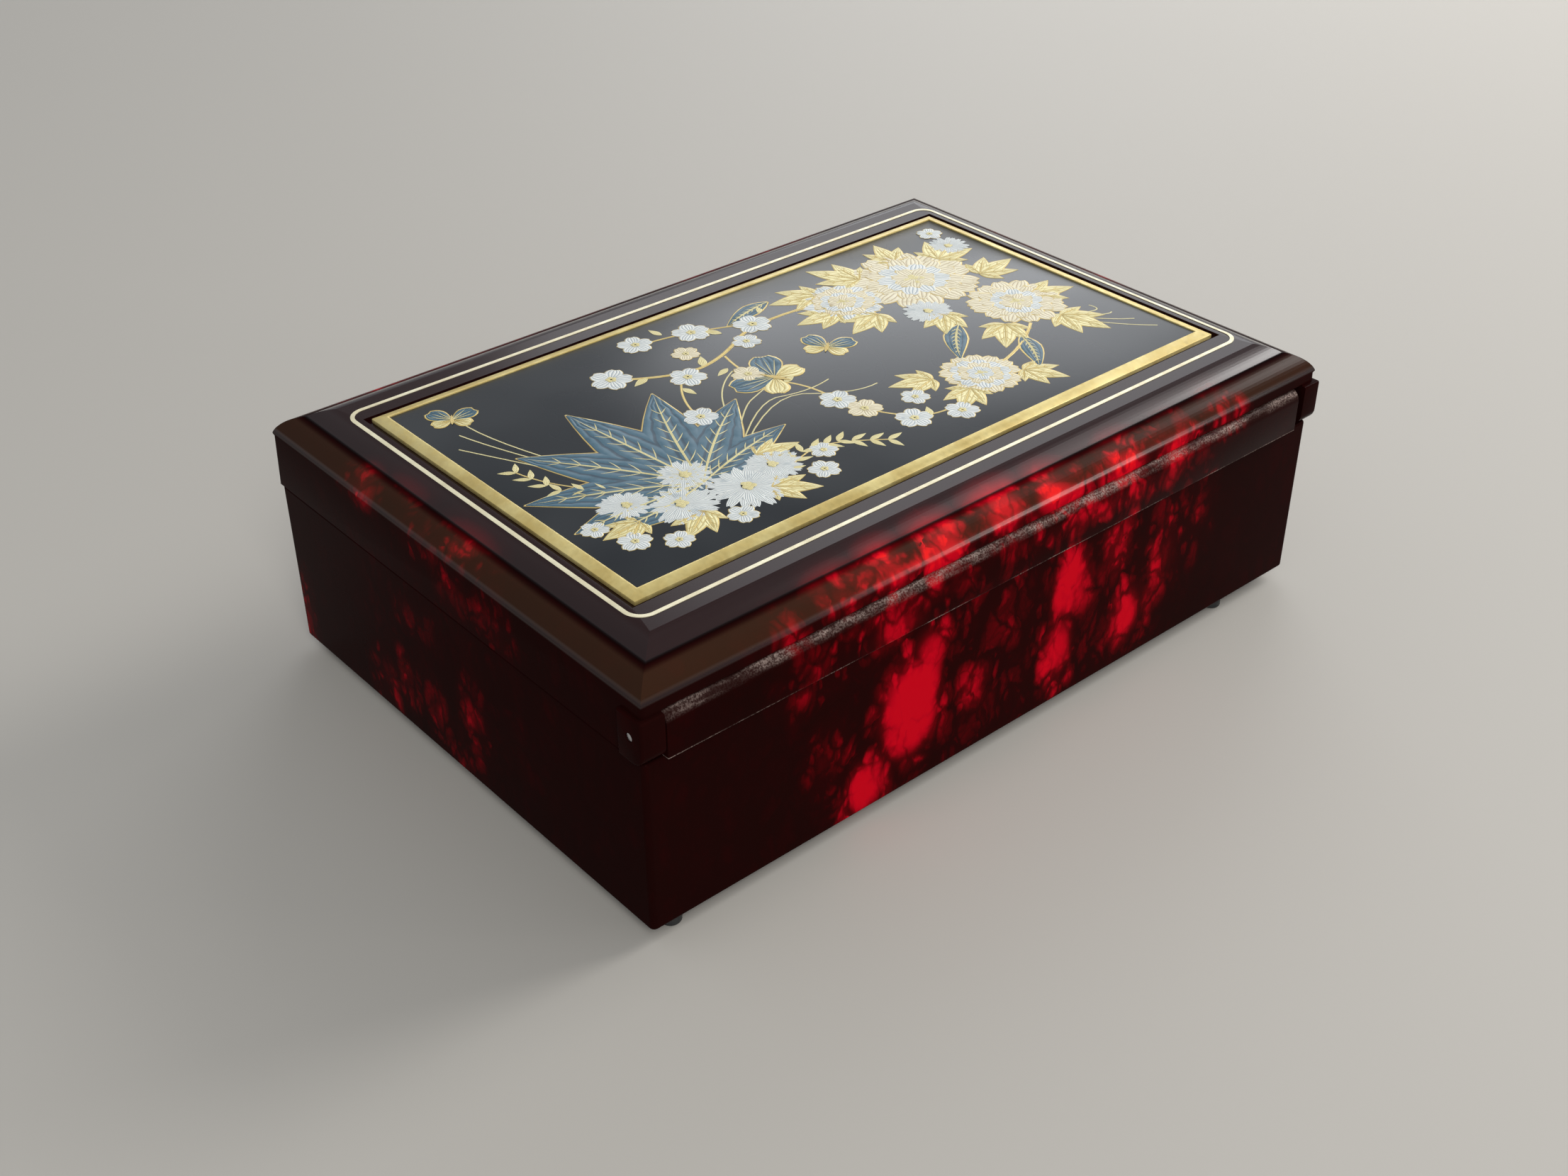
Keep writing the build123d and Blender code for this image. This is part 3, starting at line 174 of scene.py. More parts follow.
def combine(piece, tool, how):
    """Cuts the tool out of the piece, or joins it on, and throws the tool away."""
    modifier = piece.modifiers.new("combine", "BOOLEAN")
    modifier.operation = how
    modifier.solver = "EXACT"
    modifier.object = tool
    work_on(piece)
    bpy.ops.object.modifier_apply(modifier=modifier.name)
    bpy.data.objects.remove(tool, do_unlink=True)


def soften(piece, width, segments=2, degrees=35):
    """Rounds the edges a finger would feel, as a mould or a file leaves them."""
    modifier = piece.modifiers.new("soft edges", "BEVEL")
    modifier.width = width * MM
    modifier.segments = segments
    modifier.limit_method = "ANGLE"
    modifier.angle_limit = math.radians(degrees)
    modifier.use_clamp_overlap = True
    work_on(piece)
    bpy.ops.object.modifier_apply(modifier=modifier.name)


def place(piece, name, body, material, replaced=()):
    """Names a finished piece, hangs it on its body and gives it its finish."""
    piece.name = name
    piece.data.name = name
    piece.data.materials.clear()
    piece.data.materials.append(material)
    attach(piece, body)
    if replaced:
        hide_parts(*replaced)
    return piece


# %% [markdown]
# ## The camera
# The view was solved from the box's own straight edges, which gives the lens and the standpoint.
# The camera stands behind and to the left of the hinge side, looking down at it.

# %% Camera
nothing_selected()
bpy.ops.object.camera_add(
    location=(-0.2963, -0.3337, 0.30465),
    rotation=(math.radians(56.301), math.radians(0.231), math.radians(-40.927)),
)
camera = bpy.context.object
camera.data.sensor_width = 36
camera.data.lens = 43.69
camera.data.clip_start = 0.01
bpy.context.scene.camera = camera
print("lens", camera.data.lens)

# %% [markdown]
# ## Nodes
# As in the shader editor, one material or one effect is open at a time, and a new node goes into
# it. Each input is either linked to what another node gives, or gets a plain number or colour.

# %% Opening a material and adding nodes
open_tree = None


def new_material(name):
    """Opens a new material, and gives it with its shader."""
    global open_tree
    material = bpy.data.materials.new(name)
    material.use_nodes = True
    open_tree = material.node_tree
    return material, open_tree.nodes["Principled BSDF"]


def set_inputs(node, inputs):
    """Links what comes from another node, and writes in plain numbers and colours."""
    for key, value in inputs.items():
        socket = node.inputs[key]
        if hasattr(value, "is_linked"):
            open_tree.links.new(value, socket)
        else:
            socket.default_value = (*value, 1) if socket.type == "RGBA" else value
    return node


def add_node(kind, inputs, **settings):
    """A new node in the open material. What comes back is the node's outputs."""
    node = open_tree.nodes.new(kind)
    for key, value in settings.items():
        setattr(node, key, value)
    return set_inputs(node, inputs).outputs


def colour_mix(factor, first, second):
    return add_node("ShaderNodeMix", {0: factor, 6: first, 7: second}, data_type="RGBA")[2]


def colour_ramp(factor, stops):
    node = open_tree.nodes.new("ShaderNodeValToRGB")
    elements = node.color_ramp.elements
    while len(elements) < len(stops):
        elements.new(0.5)
    for element, (position, colour) in zip(elements, stops):
        element.position = position
        element.color = (*colour, 1)
    return set_inputs(node, {0: factor}).outputs[0]


def bump(height, strength, distance, shader):
    bumps = add_node("ShaderNodeBump", {"Height": height, "Strength": strength, "Distance": distance})
    set_inputs(shader, {"Normal": bumps[0]})


def object_place():
    """Where a point lies on the object, which a pattern is laid out over."""
    return add_node("ShaderNodeTexCoord", {})["Object"]


print("ready to add nodes")

# %% [markdown]
# ## Floor and light
# The light is that of a big window to the right. Four broad lamps and a pale world give it, and a
# low one draws the thin bright line along the lid's shoulder. The floor is a plain pale board,
# and its brightness comes from its own colour.

# %% Floor
nothing_selected()
bpy.ops.mesh.primitive_grid_add(x_subdivisions=8, y_subdivisions=8, size=8, location=(0, 0, 0))
floor = bpy.context.object
floor.name = "floor"
floor_finish, shader = new_material("pale floor")
floor_clouds = add_node("ShaderNodeTexNoise", {"Scale": 3.0, "Detail": 5.0})[0]
floor_tint = colour_mix(floor_clouds, (0.47, 0.445, 0.40), (0.55, 0.525, 0.485))
set_inputs(shader, {"Base Color": floor_tint, "Roughness": 0.65})
floor.data.materials.append(floor_finish)
print("floor", [round(v, 2) for v in floor.dimensions])

# %% Lamps and world
def lamp(name, place_at, aim_at, size, power, colour):
    nothing_selected()
    bpy.ops.object.light_add(type="AREA", location=place_at)
    light = bpy.context.object
    light.name = name
    light.data.shape = "DISK"
    light.data.size = size
    light.data.energy = power
    light.data.color = colour
    light.rotation_euler = (Vector(aim_at) - Vector(place_at)).to_track_quat("-Z", "Y").to_euler()


lamp("window light", (1.5, -0.3, 0.85), (0.0, -0.05, 0.03), 0.8, 15, (1.0, 0.985, 0.96))
lamp("wall light", (1.35, 1.15, 0.75), (0, 0, 0.05), 1.3, 8, (0.95, 0.97, 1.0))
lamp("upper light", (1.25, -0.2, 1.1), (0, 0, 0.05), 0.9, 2.8, (1.0, 0.96, 0.95))
lamp("low lamp", (1.29, -1.5, 0.36), (0, -0.075, 0.065), 0.34, 2.2, (1.0, 0.93, 0.85))
lamp("room light", (-0.75, -1.3, 1.25), (0, 0, 0.05), 0.8, 13, (1.0, 0.98, 0.95))
world = bpy.data.worlds.new("pale room")
bpy.context.scene.world = world
world.use_nodes = True
world_light = world.node_tree.nodes["Background"]
set_inputs(world_light, {"Color": (0.86, 0.9, 0.95), "Strength": 0.45})
bpy.context.scene.view_settings.view_transform = "Standard"

# %% [markdown]
# ## Shared effects
# Several finishes are built from the same few effects: soft clouds inside the plastic, made as bright as a
# painted glow, a scatter of dust that on the rail also carries a painted sheen, the grain left by a tool,
# and the nap of velvet. Each is a node group made once. They need a few sums first.

# %% Sums for patterns
def math_node(how, *values):
    return add_node("ShaderNodeMath", dict(enumerate(values)), operation=how)[0]


def times(first, *others):
    for other in others:
        first = math_node("MULTIPLY", first, other)
    return first


def largest(first, *others):
    for other in others:
        first = math_node("MAXIMUM", first, other)
    return first


def vector_node(how, a, b):
    return add_node("ShaderNodeVectorMath", {0: a, 1: b}, operation=how)[0]


def remap(value, low, high, to_low=0.0, to_high=1.0):
    """A soft step: low gives to_low, high gives to_high, and nothing goes past them."""
    ends = {"Value": value, "From Min": low, "From Max": high, "To Min": to_low, "To Max": to_high}
    return add_node("ShaderNodeMapRange", ends, interpolation_type="SMOOTHSTEP")["Result"]


def band(value, rise, fall):
    """1 between two values, with soft ends."""
    return times(remap(value, *rise), remap(value, *fall, 1.0, 0.0))


def noise(vector, scale, detail=3.0, roughness=0.5, distortion=0.0):
    look = {"Scale": scale, "Detail": detail, "Roughness": roughness, "Distortion": distortion}
    return add_node("ShaderNodeTexNoise", {"Vector": vector, **look})[0]


def new_group(name, inputs, outputs):
    """Opens a new effect. A plain number makes a number input, anything else a vector input."""
    global open_tree
    group = open_tree = bpy.data.node_groups.new(name, "ShaderNodeTree")
    for label, value in inputs.items():
        kind = "NodeSocketFloat" if isinstance(value, float) else "NodeSocketVector"
        socket = group.interface.new_socket(label, in_out="INPUT", socket_type=kind)
        if value is not None:
            socket.default_value = value
    for label in outputs:
        group.interface.new_socket(label, in_out="OUTPUT", socket_type="NodeSocketFloat")
    return group, group.nodes.new("NodeGroupInput").outputs, group.nodes.new("NodeGroupOutput")


def use_group(group, inputs):
    """Puts an effect into the open material, with its own values."""
    return add_node("ShaderNodeGroup", inputs, node_tree=group)


print("ready to build effects")

# %% [markdown]
# The clouds are soft lobes of three sizes, each as bright as chance made it, between dark threads.
# A slow drift of the coordinates keeps them from looking drawn with compasses. Where they are blurred they
# run together into one glow. How bright they are is a painted glow fed in, and where much painted light
# comes through they flood.

# %% Effect: clouds in the plastic
cloud_inputs = {"Vector": None, "Glow": 0.5, "Blur": 0.0}
clouds_group, entry, leave = new_group("tortoise clouds", cloud_inputs, ["Mask"])
tall = vector_node("MULTIPLY", entry["Vector"], (1.1, 1.1, 0.72))
drift = add_node("ShaderNodeTexNoise", {"Vector": tall, "Scale": 60.0, "Detail": 4.0, "Roughness": 0.6})
drift_centred = vector_node("SUBTRACT", drift["Color"], (0.5, 0.5, 0.5))
drift_small = add_node("ShaderNodeVectorMath", {0: drift_centred, "Scale": 0.014}, operation="SCALE")
drifted = vector_node("ADD", tall, drift_small[0])


def cells(scale, feature):
    return add_node("ShaderNodeTexVoronoi", {"Vector": drifted, "Scale": scale}, feature=feature)


def lobes(scale, strength, faintest):
    """Round soft spots, one to a cell, with a brightness drawn for each."""
    spots = cells(scale, "F1")
    chance = add_node("ShaderNodeSeparateColor", {0: spots["Color"]})[0]
    bright = remap(chance, 0.15, 0.85, faintest * strength, strength)
    return times(remap(spots["Distance"], 0.68, 0.12), bright)


def threads(scale, width, darkest):
    """Dark lines along the edges of cells."""
    return remap(cells(scale, "DISTANCE_TO_EDGE")["Distance"], 0.0, width, darkest, 1.0)


texture = largest(lobes(78.0, 1.0, 0.3), lobes(150.0, 0.9, 0.05), lobes(310.0, 0.62, 0.0))
texture = times(texture, threads(120.0, 0.16, 0.35), threads(260.0, 0.16, 0.72))
fog = add_node("ShaderNodeMix", {0: entry["Blur"], 2: texture, 3: 0.4}, data_type="FLOAT")[0]
# painted light: the clouds are as bright as the painted glow, and flood where it is strong
lit = times(math_node("ADD", times(fog, 1.1), 0.19), entry["Glow"])
flooded = times(remap(entry["Glow"], 0.8, 1.5, 0.0, 0.7), threads(95.0, 0.1, 0.5))
set_inputs(leave, {"Mask": math_node("ADD", lit, flooded)})
print("cloud nodes", len(clouds_group.nodes))

# %% [markdown]
# Dust lies in long streaks made of fine grains; on the rail the same mask also carries a painted sheen and a
# painted highlight line. Tool grain is long fine lines along one direction, as a brush or a lathe leaves
# them, with smudges from handling. Nap is the short pile of velvet, with brushed patches that lie another
# way.

# %% Effects: dust with a painted sheen, grain and nap
dust_and_sheen_group, entry, leave = new_group("settled dust and painted sheen", {"Vector": None, "Amount": 0.5}, ["Mask"])
streaks = noise(vector_node("MULTIPLY", entry["Vector"], (0.16, 1.0, 1.0)), 520.0, 5.0, 0.6)
drifts = noise(entry["Vector"], 60.0, 3.0, 0.6)
grains = noise(entry["Vector"], 2300.0, 2.0, 0.65)
film = remap(times(streaks, drifts), 0.16, 0.38, 0.04, 0.95)
dust_and_sheen = times(film, remap(grains, 0.4, 0.62, 0.15, 0.95), entry["Amount"])
set_inputs(leave, {"Mask": dust_and_sheen})

grain_inputs = {"Vector": None, "Stretch": (1.0, 1.0, 1.0), "Scale": 600.0}
grain_group, entry, leave = new_group("tool grain", grain_inputs, ["Lines", "Smudge"])
stretched = vector_node("MULTIPLY", entry["Vector"], entry["Stretch"])
lines = noise(stretched, entry["Scale"], 4.0)
set_inputs(leave, {"Lines": lines, "Smudge": noise(entry["Vector"], 90.0, 4.0, 0.6)})

nap_group, entry, leave = new_group("velvet nap", {"Vector": None}, ["Pile", "Brushed"])
pile = noise(entry["Vector"], 1800.0, 2.0, 0.7)
set_inputs(leave, {"Pile": pile, "Brushed": noise(entry["Vector"], 45.0, 3.0, 0.55, 0.6)})
print("effect groups", [g.name for g in bpy.data.node_groups])

# %% [markdown]
# ## Ruby tortoiseshell plastic
# The shell is a translucent plastic, almost black where it is thick or unlit. On the hinge side the light
# that comes back through it is painted into its colour, as glowing red cells between dark threads, strongest
# in the middle of the long side, and only dimly on the short sides. This painted glow is laid out over the
# object's own coordinates, so it stays with the box from every side.

# %% Ruby plastic: where painted light comes through
# patches of painted glow: middle and half size along the side and in height, in millimetres, and strength.
# The first list is for the hinge side, the second for both short sides
HINGE_PAINTED_GLOW = (
    (-36, 27, 13, 20, 1.6), (-30, 42, 10, 12, 1.05), (-49, 11, 11, 13, 1.25), (-62, 25, 9, 15, 0.62),
    (-13, 21, 11, 13, 0.68), (-66, 52, 15, 12, 0.5), (-42, 54, 16, 9, 0.95), (20, 38, 10, 15, 1.35),
    (17, 20, 9, 17, 1.15), (37, 43, 9, 15, 1.0), (44, 19, 11, 16, 1.0), (57, 33, 11, 18, 0.8),
    (66, 40, 12, 22, 0.42), (-10, 48, 30, 16, 0.42), (0, 30, 74, 38, 0.34),
    (-57, 68, 12, 6, 1.05), (-42, 68, 10, 7, 1.3), (-26, 67, 12, 8, 1.5), (-5, 69, 13, 7, 1.4),
    (12, 67, 12, 7, 1.5), (38, 66, 13, 7, 1.45), (57, 65, 12, 7, 1.3), (-73, 66, 9, 6, 0.6),
    (-40, 58, 34, 6, 0.8), (30, 58, 42, 6, 0.85), (0, 66, 80, 9, 0.55), (76, 66, 11, 7, 1.0),
)
END_PAINTED_GLOW = (
    (34, 12, 9, 12, 0.62), (22, 18, 7, 12, 0.66), (9, 15, 7, 14, 0.52), (-9, 24, 9, 17, 0.6),
    (0, 5, 8, 7, 0.5), (19, 40, 7, 8, 0.46), (-6, 59, 10, 8, 0.55), (-22, 59, 10, 9, 0.5),
    (8, 66, 12, 6, 0.55), (36, 68, 9, 5, 0.85), (-6, 71, 14, 5, 0.66), (22, 73, 12, 3, 0.55),
    (0, 40, 56, 36, 0.17),
)


def painted_glow_field(place_on, patches, along):
    """The brightest of several soft round patches of painted glow, laid out along x or y and in z."""
    field = 0.0
    for middle, height, half_width, half_height, strength in patches:
        centre = (*[v * middle * MM for v in along], height * MM)
        sharpness = (*[v / half_width / MM for v in along], 1 / half_height / MM)
        offset = vector_node("MULTIPLY", vector_node("SUBTRACT", place_on, centre), sharpness)
        reach = add_node("ShaderNodeVectorMath", {0: offset}, operation="LENGTH")["Value"]
        field = largest(field, remap(reach, 0.1, 1.5, strength, 0.0))
    return field


def painted_ruby_glow(place_on, x, y, z):
    """The painted glow: how much light the shell is painted as letting back, by where it is on the box, 1
    where it is bright.
    """
    on_hinge_side = remap(y, -0.0615, -0.073)
    # painted shade: the glow is dimmed higher up
    painted_shade_higher_up = remap(z, 0.058, 0.067, 1.04, 0.86)
    painted_hinge_glow = times(painted_glow_field(place_on, HINGE_PAINTED_GLOW, (1, 0)), on_hinge_side, painted_shade_higher_up)
    on_short_sides = remap(math_node("ABSOLUTE", x), 0.1, 0.112)
    painted_end_glow = times(painted_glow_field(place_on, END_PAINTED_GLOW, (0, 1)), on_short_sides)
    # painted glow on the front side, broken up by noise
    depth = remap(noise(place_on, 17.0, 2.0, 0.5), 0.36, 0.66, 0.0, 0.8)
    painted_front_glow = times(remap(y, 0.066, 0.075), depth)
    return largest(painted_hinge_glow, painted_end_glow, painted_front_glow, 0.05)


print("patches of light", len(HINGE_PAINTED_GLOW), "and", len(END_PAINTED_GLOW))

# %% [markdown]
# The colour runs from almost black to bright red with the painted amount of light. A painted shade line is
# drawn in the lid's valley, and the ovolo under it has a faint painted brown reflection. The plastic itself
# hardly mirrors, so its gloss is a coat that lies only on the crown, the ovolo and the shoulder line. The
# rail takes the same finish; its rounded top is darker and carries dust with a painted sheen, and a painted
# highlight line runs along its foot.

# %% Ruby plastic: the finish
VALLEY = 0.0717
# colours for the painted amount of light, from none to full
RUBY_STOPS = (
    (0.0, (0.0125, 0.0026, 0.0022)), (0.12, (0.024, 0.0019, 0.002)), (0.31, (0.11, 0.0013, 0.0032)),
    (0.53, (0.33, 0.0014, 0.0078)), (0.75, (0.58, 0.0018, 0.0125)), (1.0, (0.90, 0.006, 0.013)),
)
# painted shade for the valley crease, and a painted brown reflection for the ovolo
VALLEY_PAINTED_SHADE, OVOLO_PAINTED_REFLECTION = (0.004, 0.001, 0.001), (0.42, 0.21, 0.08)
# the first colour makes the rail's rounded top darker, the second is the pale tint of dust, which also
# stands for a painted sheen and a painted highlight line
RAIL_TOP_DARKER, DUST_AND_SHEEN_TINT = (0.03, 0.011, 0.009), (0.42, 0.32, 0.28)


def ruby_colour(place_on, ovolo):
    x, y, z = add_node("ShaderNodeSeparateXYZ", {0: place_on})
    blur = remap(z, 0.0708, 0.0722, 0.0, 0.9)
    cloud_values = {"Vector": place_on, "Glow": painted_ruby_glow(place_on, x, y, z), "Blur": blur}
    # painted glow, capped lower down on the box
    brightest = remap(z, 0.0625, 0.0675, 0.79, 1.05)
    light = math_node("SMOOTH_MIN", use_group(clouds_group, cloud_values)["Mask"], brightest)
    from_valley = math_node("ABSOLUTE", math_node("SUBTRACT", z, VALLEY))
    # painted shade: a dark line along the valley crease
    painted_valley_shade = remap(from_valley, 0.0, 0.00028, 0.9, 0.0)
    colour = colour_mix(painted_valley_shade, colour_ramp(light, RUBY_STOPS), VALLEY_PAINTED_SHADE)
    # painted reflection: a faint brown on the ovolo
    return colour_mix(times(ovolo, 0.055), colour, OVOLO_PAINTED_REFLECTION)


def ruby_material(name, dust_and_sheen=False):
    material, shader = new_material(name)
    place_on = object_place()
    height = add_node("ShaderNodeSeparateXYZ", {0: place_on})[2]
    ovolo = band(height, (0.0671, 0.0679), (0.0709, 0.0715))
    colour = ruby_colour(place_on, ovolo)
    smudge = use_group(grain_group, {"Vector": place_on, "Stretch": (0.12, 1, 1), "Scale": 700.0})["Smudge"]
    rubbed = remap(height, 0.0715, 0.0738, 0.0, 0.17)
    gloss = math_node("ADD", remap(smudge, 0.3, 0.75, 0.08, 0.17), rubbed)
    if dust_and_sheen:
        # on the rounded top the dust mask also carries a painted sheen, and the top is made darker under it
        on_top = band(height, (0.0606, 0.0628), (0.0629, 0.0633))
        # the pale line along the foot is a painted highlight, where the edge catches light
        amount = largest(on_top, remap(height, 0.0517, 0.0514))
        dust = use_group(dust_and_sheen_group, {"Vector": place_on, "Amount": amount})["Mask"]
        colour = colour_mix(dust, colour_mix(times(on_top, 0.45), colour, RAIL_TOP_DARKER), DUST_AND_SHEEN_TINT)
        gloss = math_node("ADD", gloss, times(dust, 0.6))
    else:
        crown = times(remap(height, 0.07158, 0.0719, 0.0, 0.85), remap(height, 0.0736, 0.0742, 1.0, 0.6))
        shoulder = times(band(height, (0.0664, 0.067), (0.0677, 0.0684)), 0.75)
        set_inputs(shader, {"Coat Weight": largest(crown, shoulder, times(ovolo, 0.16))})
    set_inputs(shader, {"Base Color": colour, "Roughness": gloss})
    set_inputs(shader, {"Specular IOR Level": 0.006, "Coat Roughness": 0.2})
    bump(smudge, 0.03, 0.001, shader)
    return material


ruby = ruby_material("ruby tortoiseshell plastic")
dust_and_sheen_ruby = ruby_material("ruby plastic under dust and painted sheen", True)
print("ruby finishes", ruby.name, "and", dust_and_sheen_ruby.name)

# %% [markdown]
# ## Gold foil, slate panel and the metals
# The border is a stamped foil, dull and slightly hammered. The panel is a satin slate lacquer.
# The movement is brass, plated steel and a pale zinc casting, each with the lines its making left.

# %% Foil and metals
def metal_material(
    name, colour, shade, rough, stretch=(1, 1, 1), scale=500.0, depth=0.15, metallic=1.0
):
    """Smudges between two colours, and fine lines that change the gloss and the surface."""
    material, shader = new_material(name)
    grain = use_group(grain_group, {"Vector": object_place(), "Stretch": stretch, "Scale": scale})
    tint = colour_mix(remap(grain["Smudge"], 0.3, 0.7), shade, colour)
    gloss = remap(grain["Lines"], 0.3, 0.7, rough * 0.75, rough * 1.3)
    set_inputs(shader, {"Base Color": tint, "Roughness": gloss, "Metallic": metallic})
    bump(grain["Lines"], depth, 0.0001, shader)
    return material


EVEN, TURNED, GROUND = (1, 1, 1), (1, 12, 12), (14, 1, 1)
FOIL, SHADED_FOIL = (0.84, 0.70, 0.30), (0.66, 0.50, 0.17)
THREAD, SHADED_THREAD = (0.95, 0.90, 0.66), (0.82, 0.74, 0.50)
gold_foil = metal_material("stamped gold foil", FOIL, SHADED_FOIL, 0.42, EVEN, 700.0, 0.5, 0.45)
gold_thread = metal_material("gold line foil", THREAD, SHADED_THREAD, 0.45, EVEN, 500.0, 0.2, 0.3)
brass = metal_material("turned brass", (0.80, 0.58, 0.24), (0.62, 0.43, 0.16), 0.26)
steel = metal_material("plated steel", (0.72, 0.72, 0.73), (0.52, 0.52, 0.54), 0.24, TURNED)
spring_steel = metal_material("ground comb steel", (0.62, 0.64, 0.67), (0.45, 0.47, 0.5), 0.3, GROUND, 900.0)
zinc = metal_material("washed zinc casting", (0.70, 0.62, 0.42), (0.52, 0.46, 0.32), 0.42, EVEN, 900.0, 0.5)
print("metals", [m.name for m in (gold_foil, gold_thread, brass, steel, spring_steel, zinc)])

# %% Slate lacquer and printed colours
slate, shader = new_material("slate lacquer")
place_on = object_place()
haze = noise(place_on, 22.0, 2.0, 0.45)
slate_tint = colour_mix(remap(haze, 0.3, 0.75), (0.021, 0.024, 0.028), (0.040, 0.044, 0.048))
set_inputs(shader, {"Base Color": slate_tint, "Roughness": remap(haze, 0.3, 0.75, 0.25, 0.33)})
set_inputs(shader, {"Specular IOR Level": 0.3})
bump(noise(place_on, 1500.0, 2.0), 0.05, 0.0001, shader)


def print_material(name, light, deep, metallic=0.0, rough=0.42):
    """Printed foil colours: a clear tone with fine engraved lines in a deeper one."""
    material, shader = new_material(name)
    worn = noise(object_place(), 240.0, 4.0, 0.6)
    petal = add_node("ShaderNodeUVMap", {})[0]
    waves = {"Vector": petal, "Scale": 1.6, "Distortion": 2.5, "Detail": 1.0}
    lines = add_node("ShaderNodeTexWave", waves, wave_type="BANDS", bands_direction="Y")["Fac"]
    engraved = times(remap(lines, 0.05, 0.3, 1.0, 0.0), 0.9)
    tint = colour_mix(largest(engraved, remap(worn, 0.55, 0.75, 0.0, 0.6)), light, deep)
    gloss = remap(worn, 0.3, 0.7, rough * 0.8, rough * 1.25)
    set_inputs(shader, {"Base Color": tint, "Roughness": gloss, "Metallic": metallic})
    bump(lines, 0.5, 0.00012, shader)
    return material


PRINTS = {
    "gold": print_material("gold print", (0.78, 0.60, 0.21), (0.42, 0.28, 0.06), 0.35, 0.36),
    "cream": print_material("cream print", (0.82, 0.75, 0.53), (0.46, 0.35, 0.19)),
    "white": print_material("white print", (0.76, 0.78, 0.74), (0.27, 0.34, 0.39)),
    "straw": print_material("straw print", (0.84, 0.76, 0.40), (0.52, 0.40, 0.12), 0.2),
    "teal": print_material("teal print", (0.045, 0.125, 0.18), (0.015, 0.045, 0.075)),
}
print("panel finishes", slate.name, [m.name for m in PRINTS.values()])

# %% [markdown]
# ## Velvet, rubber, glass and card
# Velvet is dark when looked at straight and pale at a slant, which the shader's sheen gives. Its
# brushed patches are a slow change of colour, and its pile is a very fine bump.

# %% Soft and clear finishes
def velvet_material(name, deep, lit):
    material, shader = new_material(name)
    nap = use_group(nap_group, {"Vector": object_place()})
    tint = colour_mix(remap(nap["Brushed"], 0.35, 0.65), deep, lit)
    set_inputs(shader, {"Base Color": tint, "Roughness": remap(nap["Pile"], 0.3, 0.7, 0.75, 0.95)})
    set_inputs(shader, {"Sheen Weight": 0.7, "Sheen Roughness": 0.35, "Sheen Tint": (0.9, 0.35, 0.4)})
    bump(nap["Pile"], 0.5, 0.0004, shader)
    return material


velvet = velvet_material("red velvet lining", (0.14, 0.004, 0.012), (0.24, 0.008, 0.02))
roll_velvet = velvet_material("red velvet rolls", (0.18, 0.005, 0.014), (0.30, 0.01, 0.026))
rubber = metal_material("matt rubber", (0.025, 0.025, 0.026), (0.012, 0.012, 0.012), 0.7, metallic=0.0)
dark_plastic = ruby_material("dark moulded plastic")
mirror_finish = metal_material("silvered glass", (0.9, 0.92, 0.92), (0.86, 0.88, 0.88), 0.03, depth=0.0)
board = metal_material("fibreboard", (0.36, 0.25, 0.16), (0.24, 0.16, 0.1), 0.8, (1, 6, 1), 300.0, 0.6, 0.0)

clear, shader = new_material("clear acrylic")
wear = noise(object_place(), 120.0, 4.0)
wear_tint = colour_mix(remap(wear, 0.3, 0.75), (0.97, 0.985, 0.985), (0.92, 0.94, 0.93))
set_inputs(shader, {"Base Color": wear_tint, "Roughness": remap(wear, 0.3, 0.75, 0.02, 0.12)})
set_inputs(shader, {"Transmission Weight": 1.0, "Alpha": 0.4, "IOR": 1.49})
print("finishes", len(bpy.data.materials))

# %% [markdown]
# ## The lid
# The lid's edge is a run of mouldings: a straight skirt, a rounded shoulder, an ovolo, a sharp
# valley and then the crown that rises to the flat top. All four sides meet in mitres. The way a
# hand would do it is to start from a flat rectangle and extrude it upwards ring by ring, making
# each ring as much smaller as the moulding steps in, so the mitres come out by themselves.

# %% Lid: the rings of the moulding
HALF_X, HALF_Y = 115.0, 78.0  # to the shoulder's face
SKIRT_FOOT, SKIRT_INSET = 51.5, -0.1


def arc_points(start, middle, end, count):
    """Points on the circle through three given points, from the first to the last."""
    (ax, ay), (bx, by), (cx, cy) = start, middle, end
    a2, b2, c2 = ax * ax + ay * ay, bx * bx + by * by, cx * cx + cy * cy
    d = 2 * (ax * (by - cy) + bx * (cy - ay) + cx * (ay - by))
    ux = (a2 * (by - cy) + b2 * (cy - ay) + c2 * (ay - by)) / d
    uy = (a2 * (cx - bx) + b2 * (ax - cx) + c2 * (bx - ax)) / d
    radius = math.hypot(ax - ux, ay - uy)
    first, last = math.atan2(ay - uy, ax - ux), math.atan2(cy - uy, cx - ux)
    steps = [first + (last - first) * i / count for i in range(count + 1)]
    return [(ux + radius * math.cos(t), uy + radius * math.sin(t)) for t in steps]


# inset from the shoulder's face and height, both in millimetres
moulding = [(-0.4, 51.8), (-0.025, 66.2)]
moulding += [(0.02, 66.6), (0.12, 66.95), (0.3, 67.32), (0.56, 67.78)]
moulding += arc_points((0.85, 68.2), (2.8, 70.08), (6.8, 71.7), 9)
moulding += arc_points((6.8, 71.7), (10.2, 73.5), (14.0, 74.2), 10)[1:]

nothing_selected()
bpy.ops.mesh.primitive_plane_add(size=2, location=(0, 0, SKIRT_FOOT * MM))
lid = bpy.context.object
lid.scale = ((HALF_X - SKIRT_INSET) * MM, (HALF_Y - SKIRT_INSET) * MM, 1)
put_down(lid)
pick(lid, faces=everything)
inset_now, height_now = SKIRT_INSET, SKIRT_FOOT
for inset_next, height_next in moulding:
    extrude_up(height_next - height_now)
    resize(*[(half - inset_next) / (half - inset_now) for half in (HALF_X, HALF_Y)])
    inset_now, height_now = inset_next, height_next
leave_edit()
print("lid rings", len(moulding), "faces", len(lid.data.polygons))

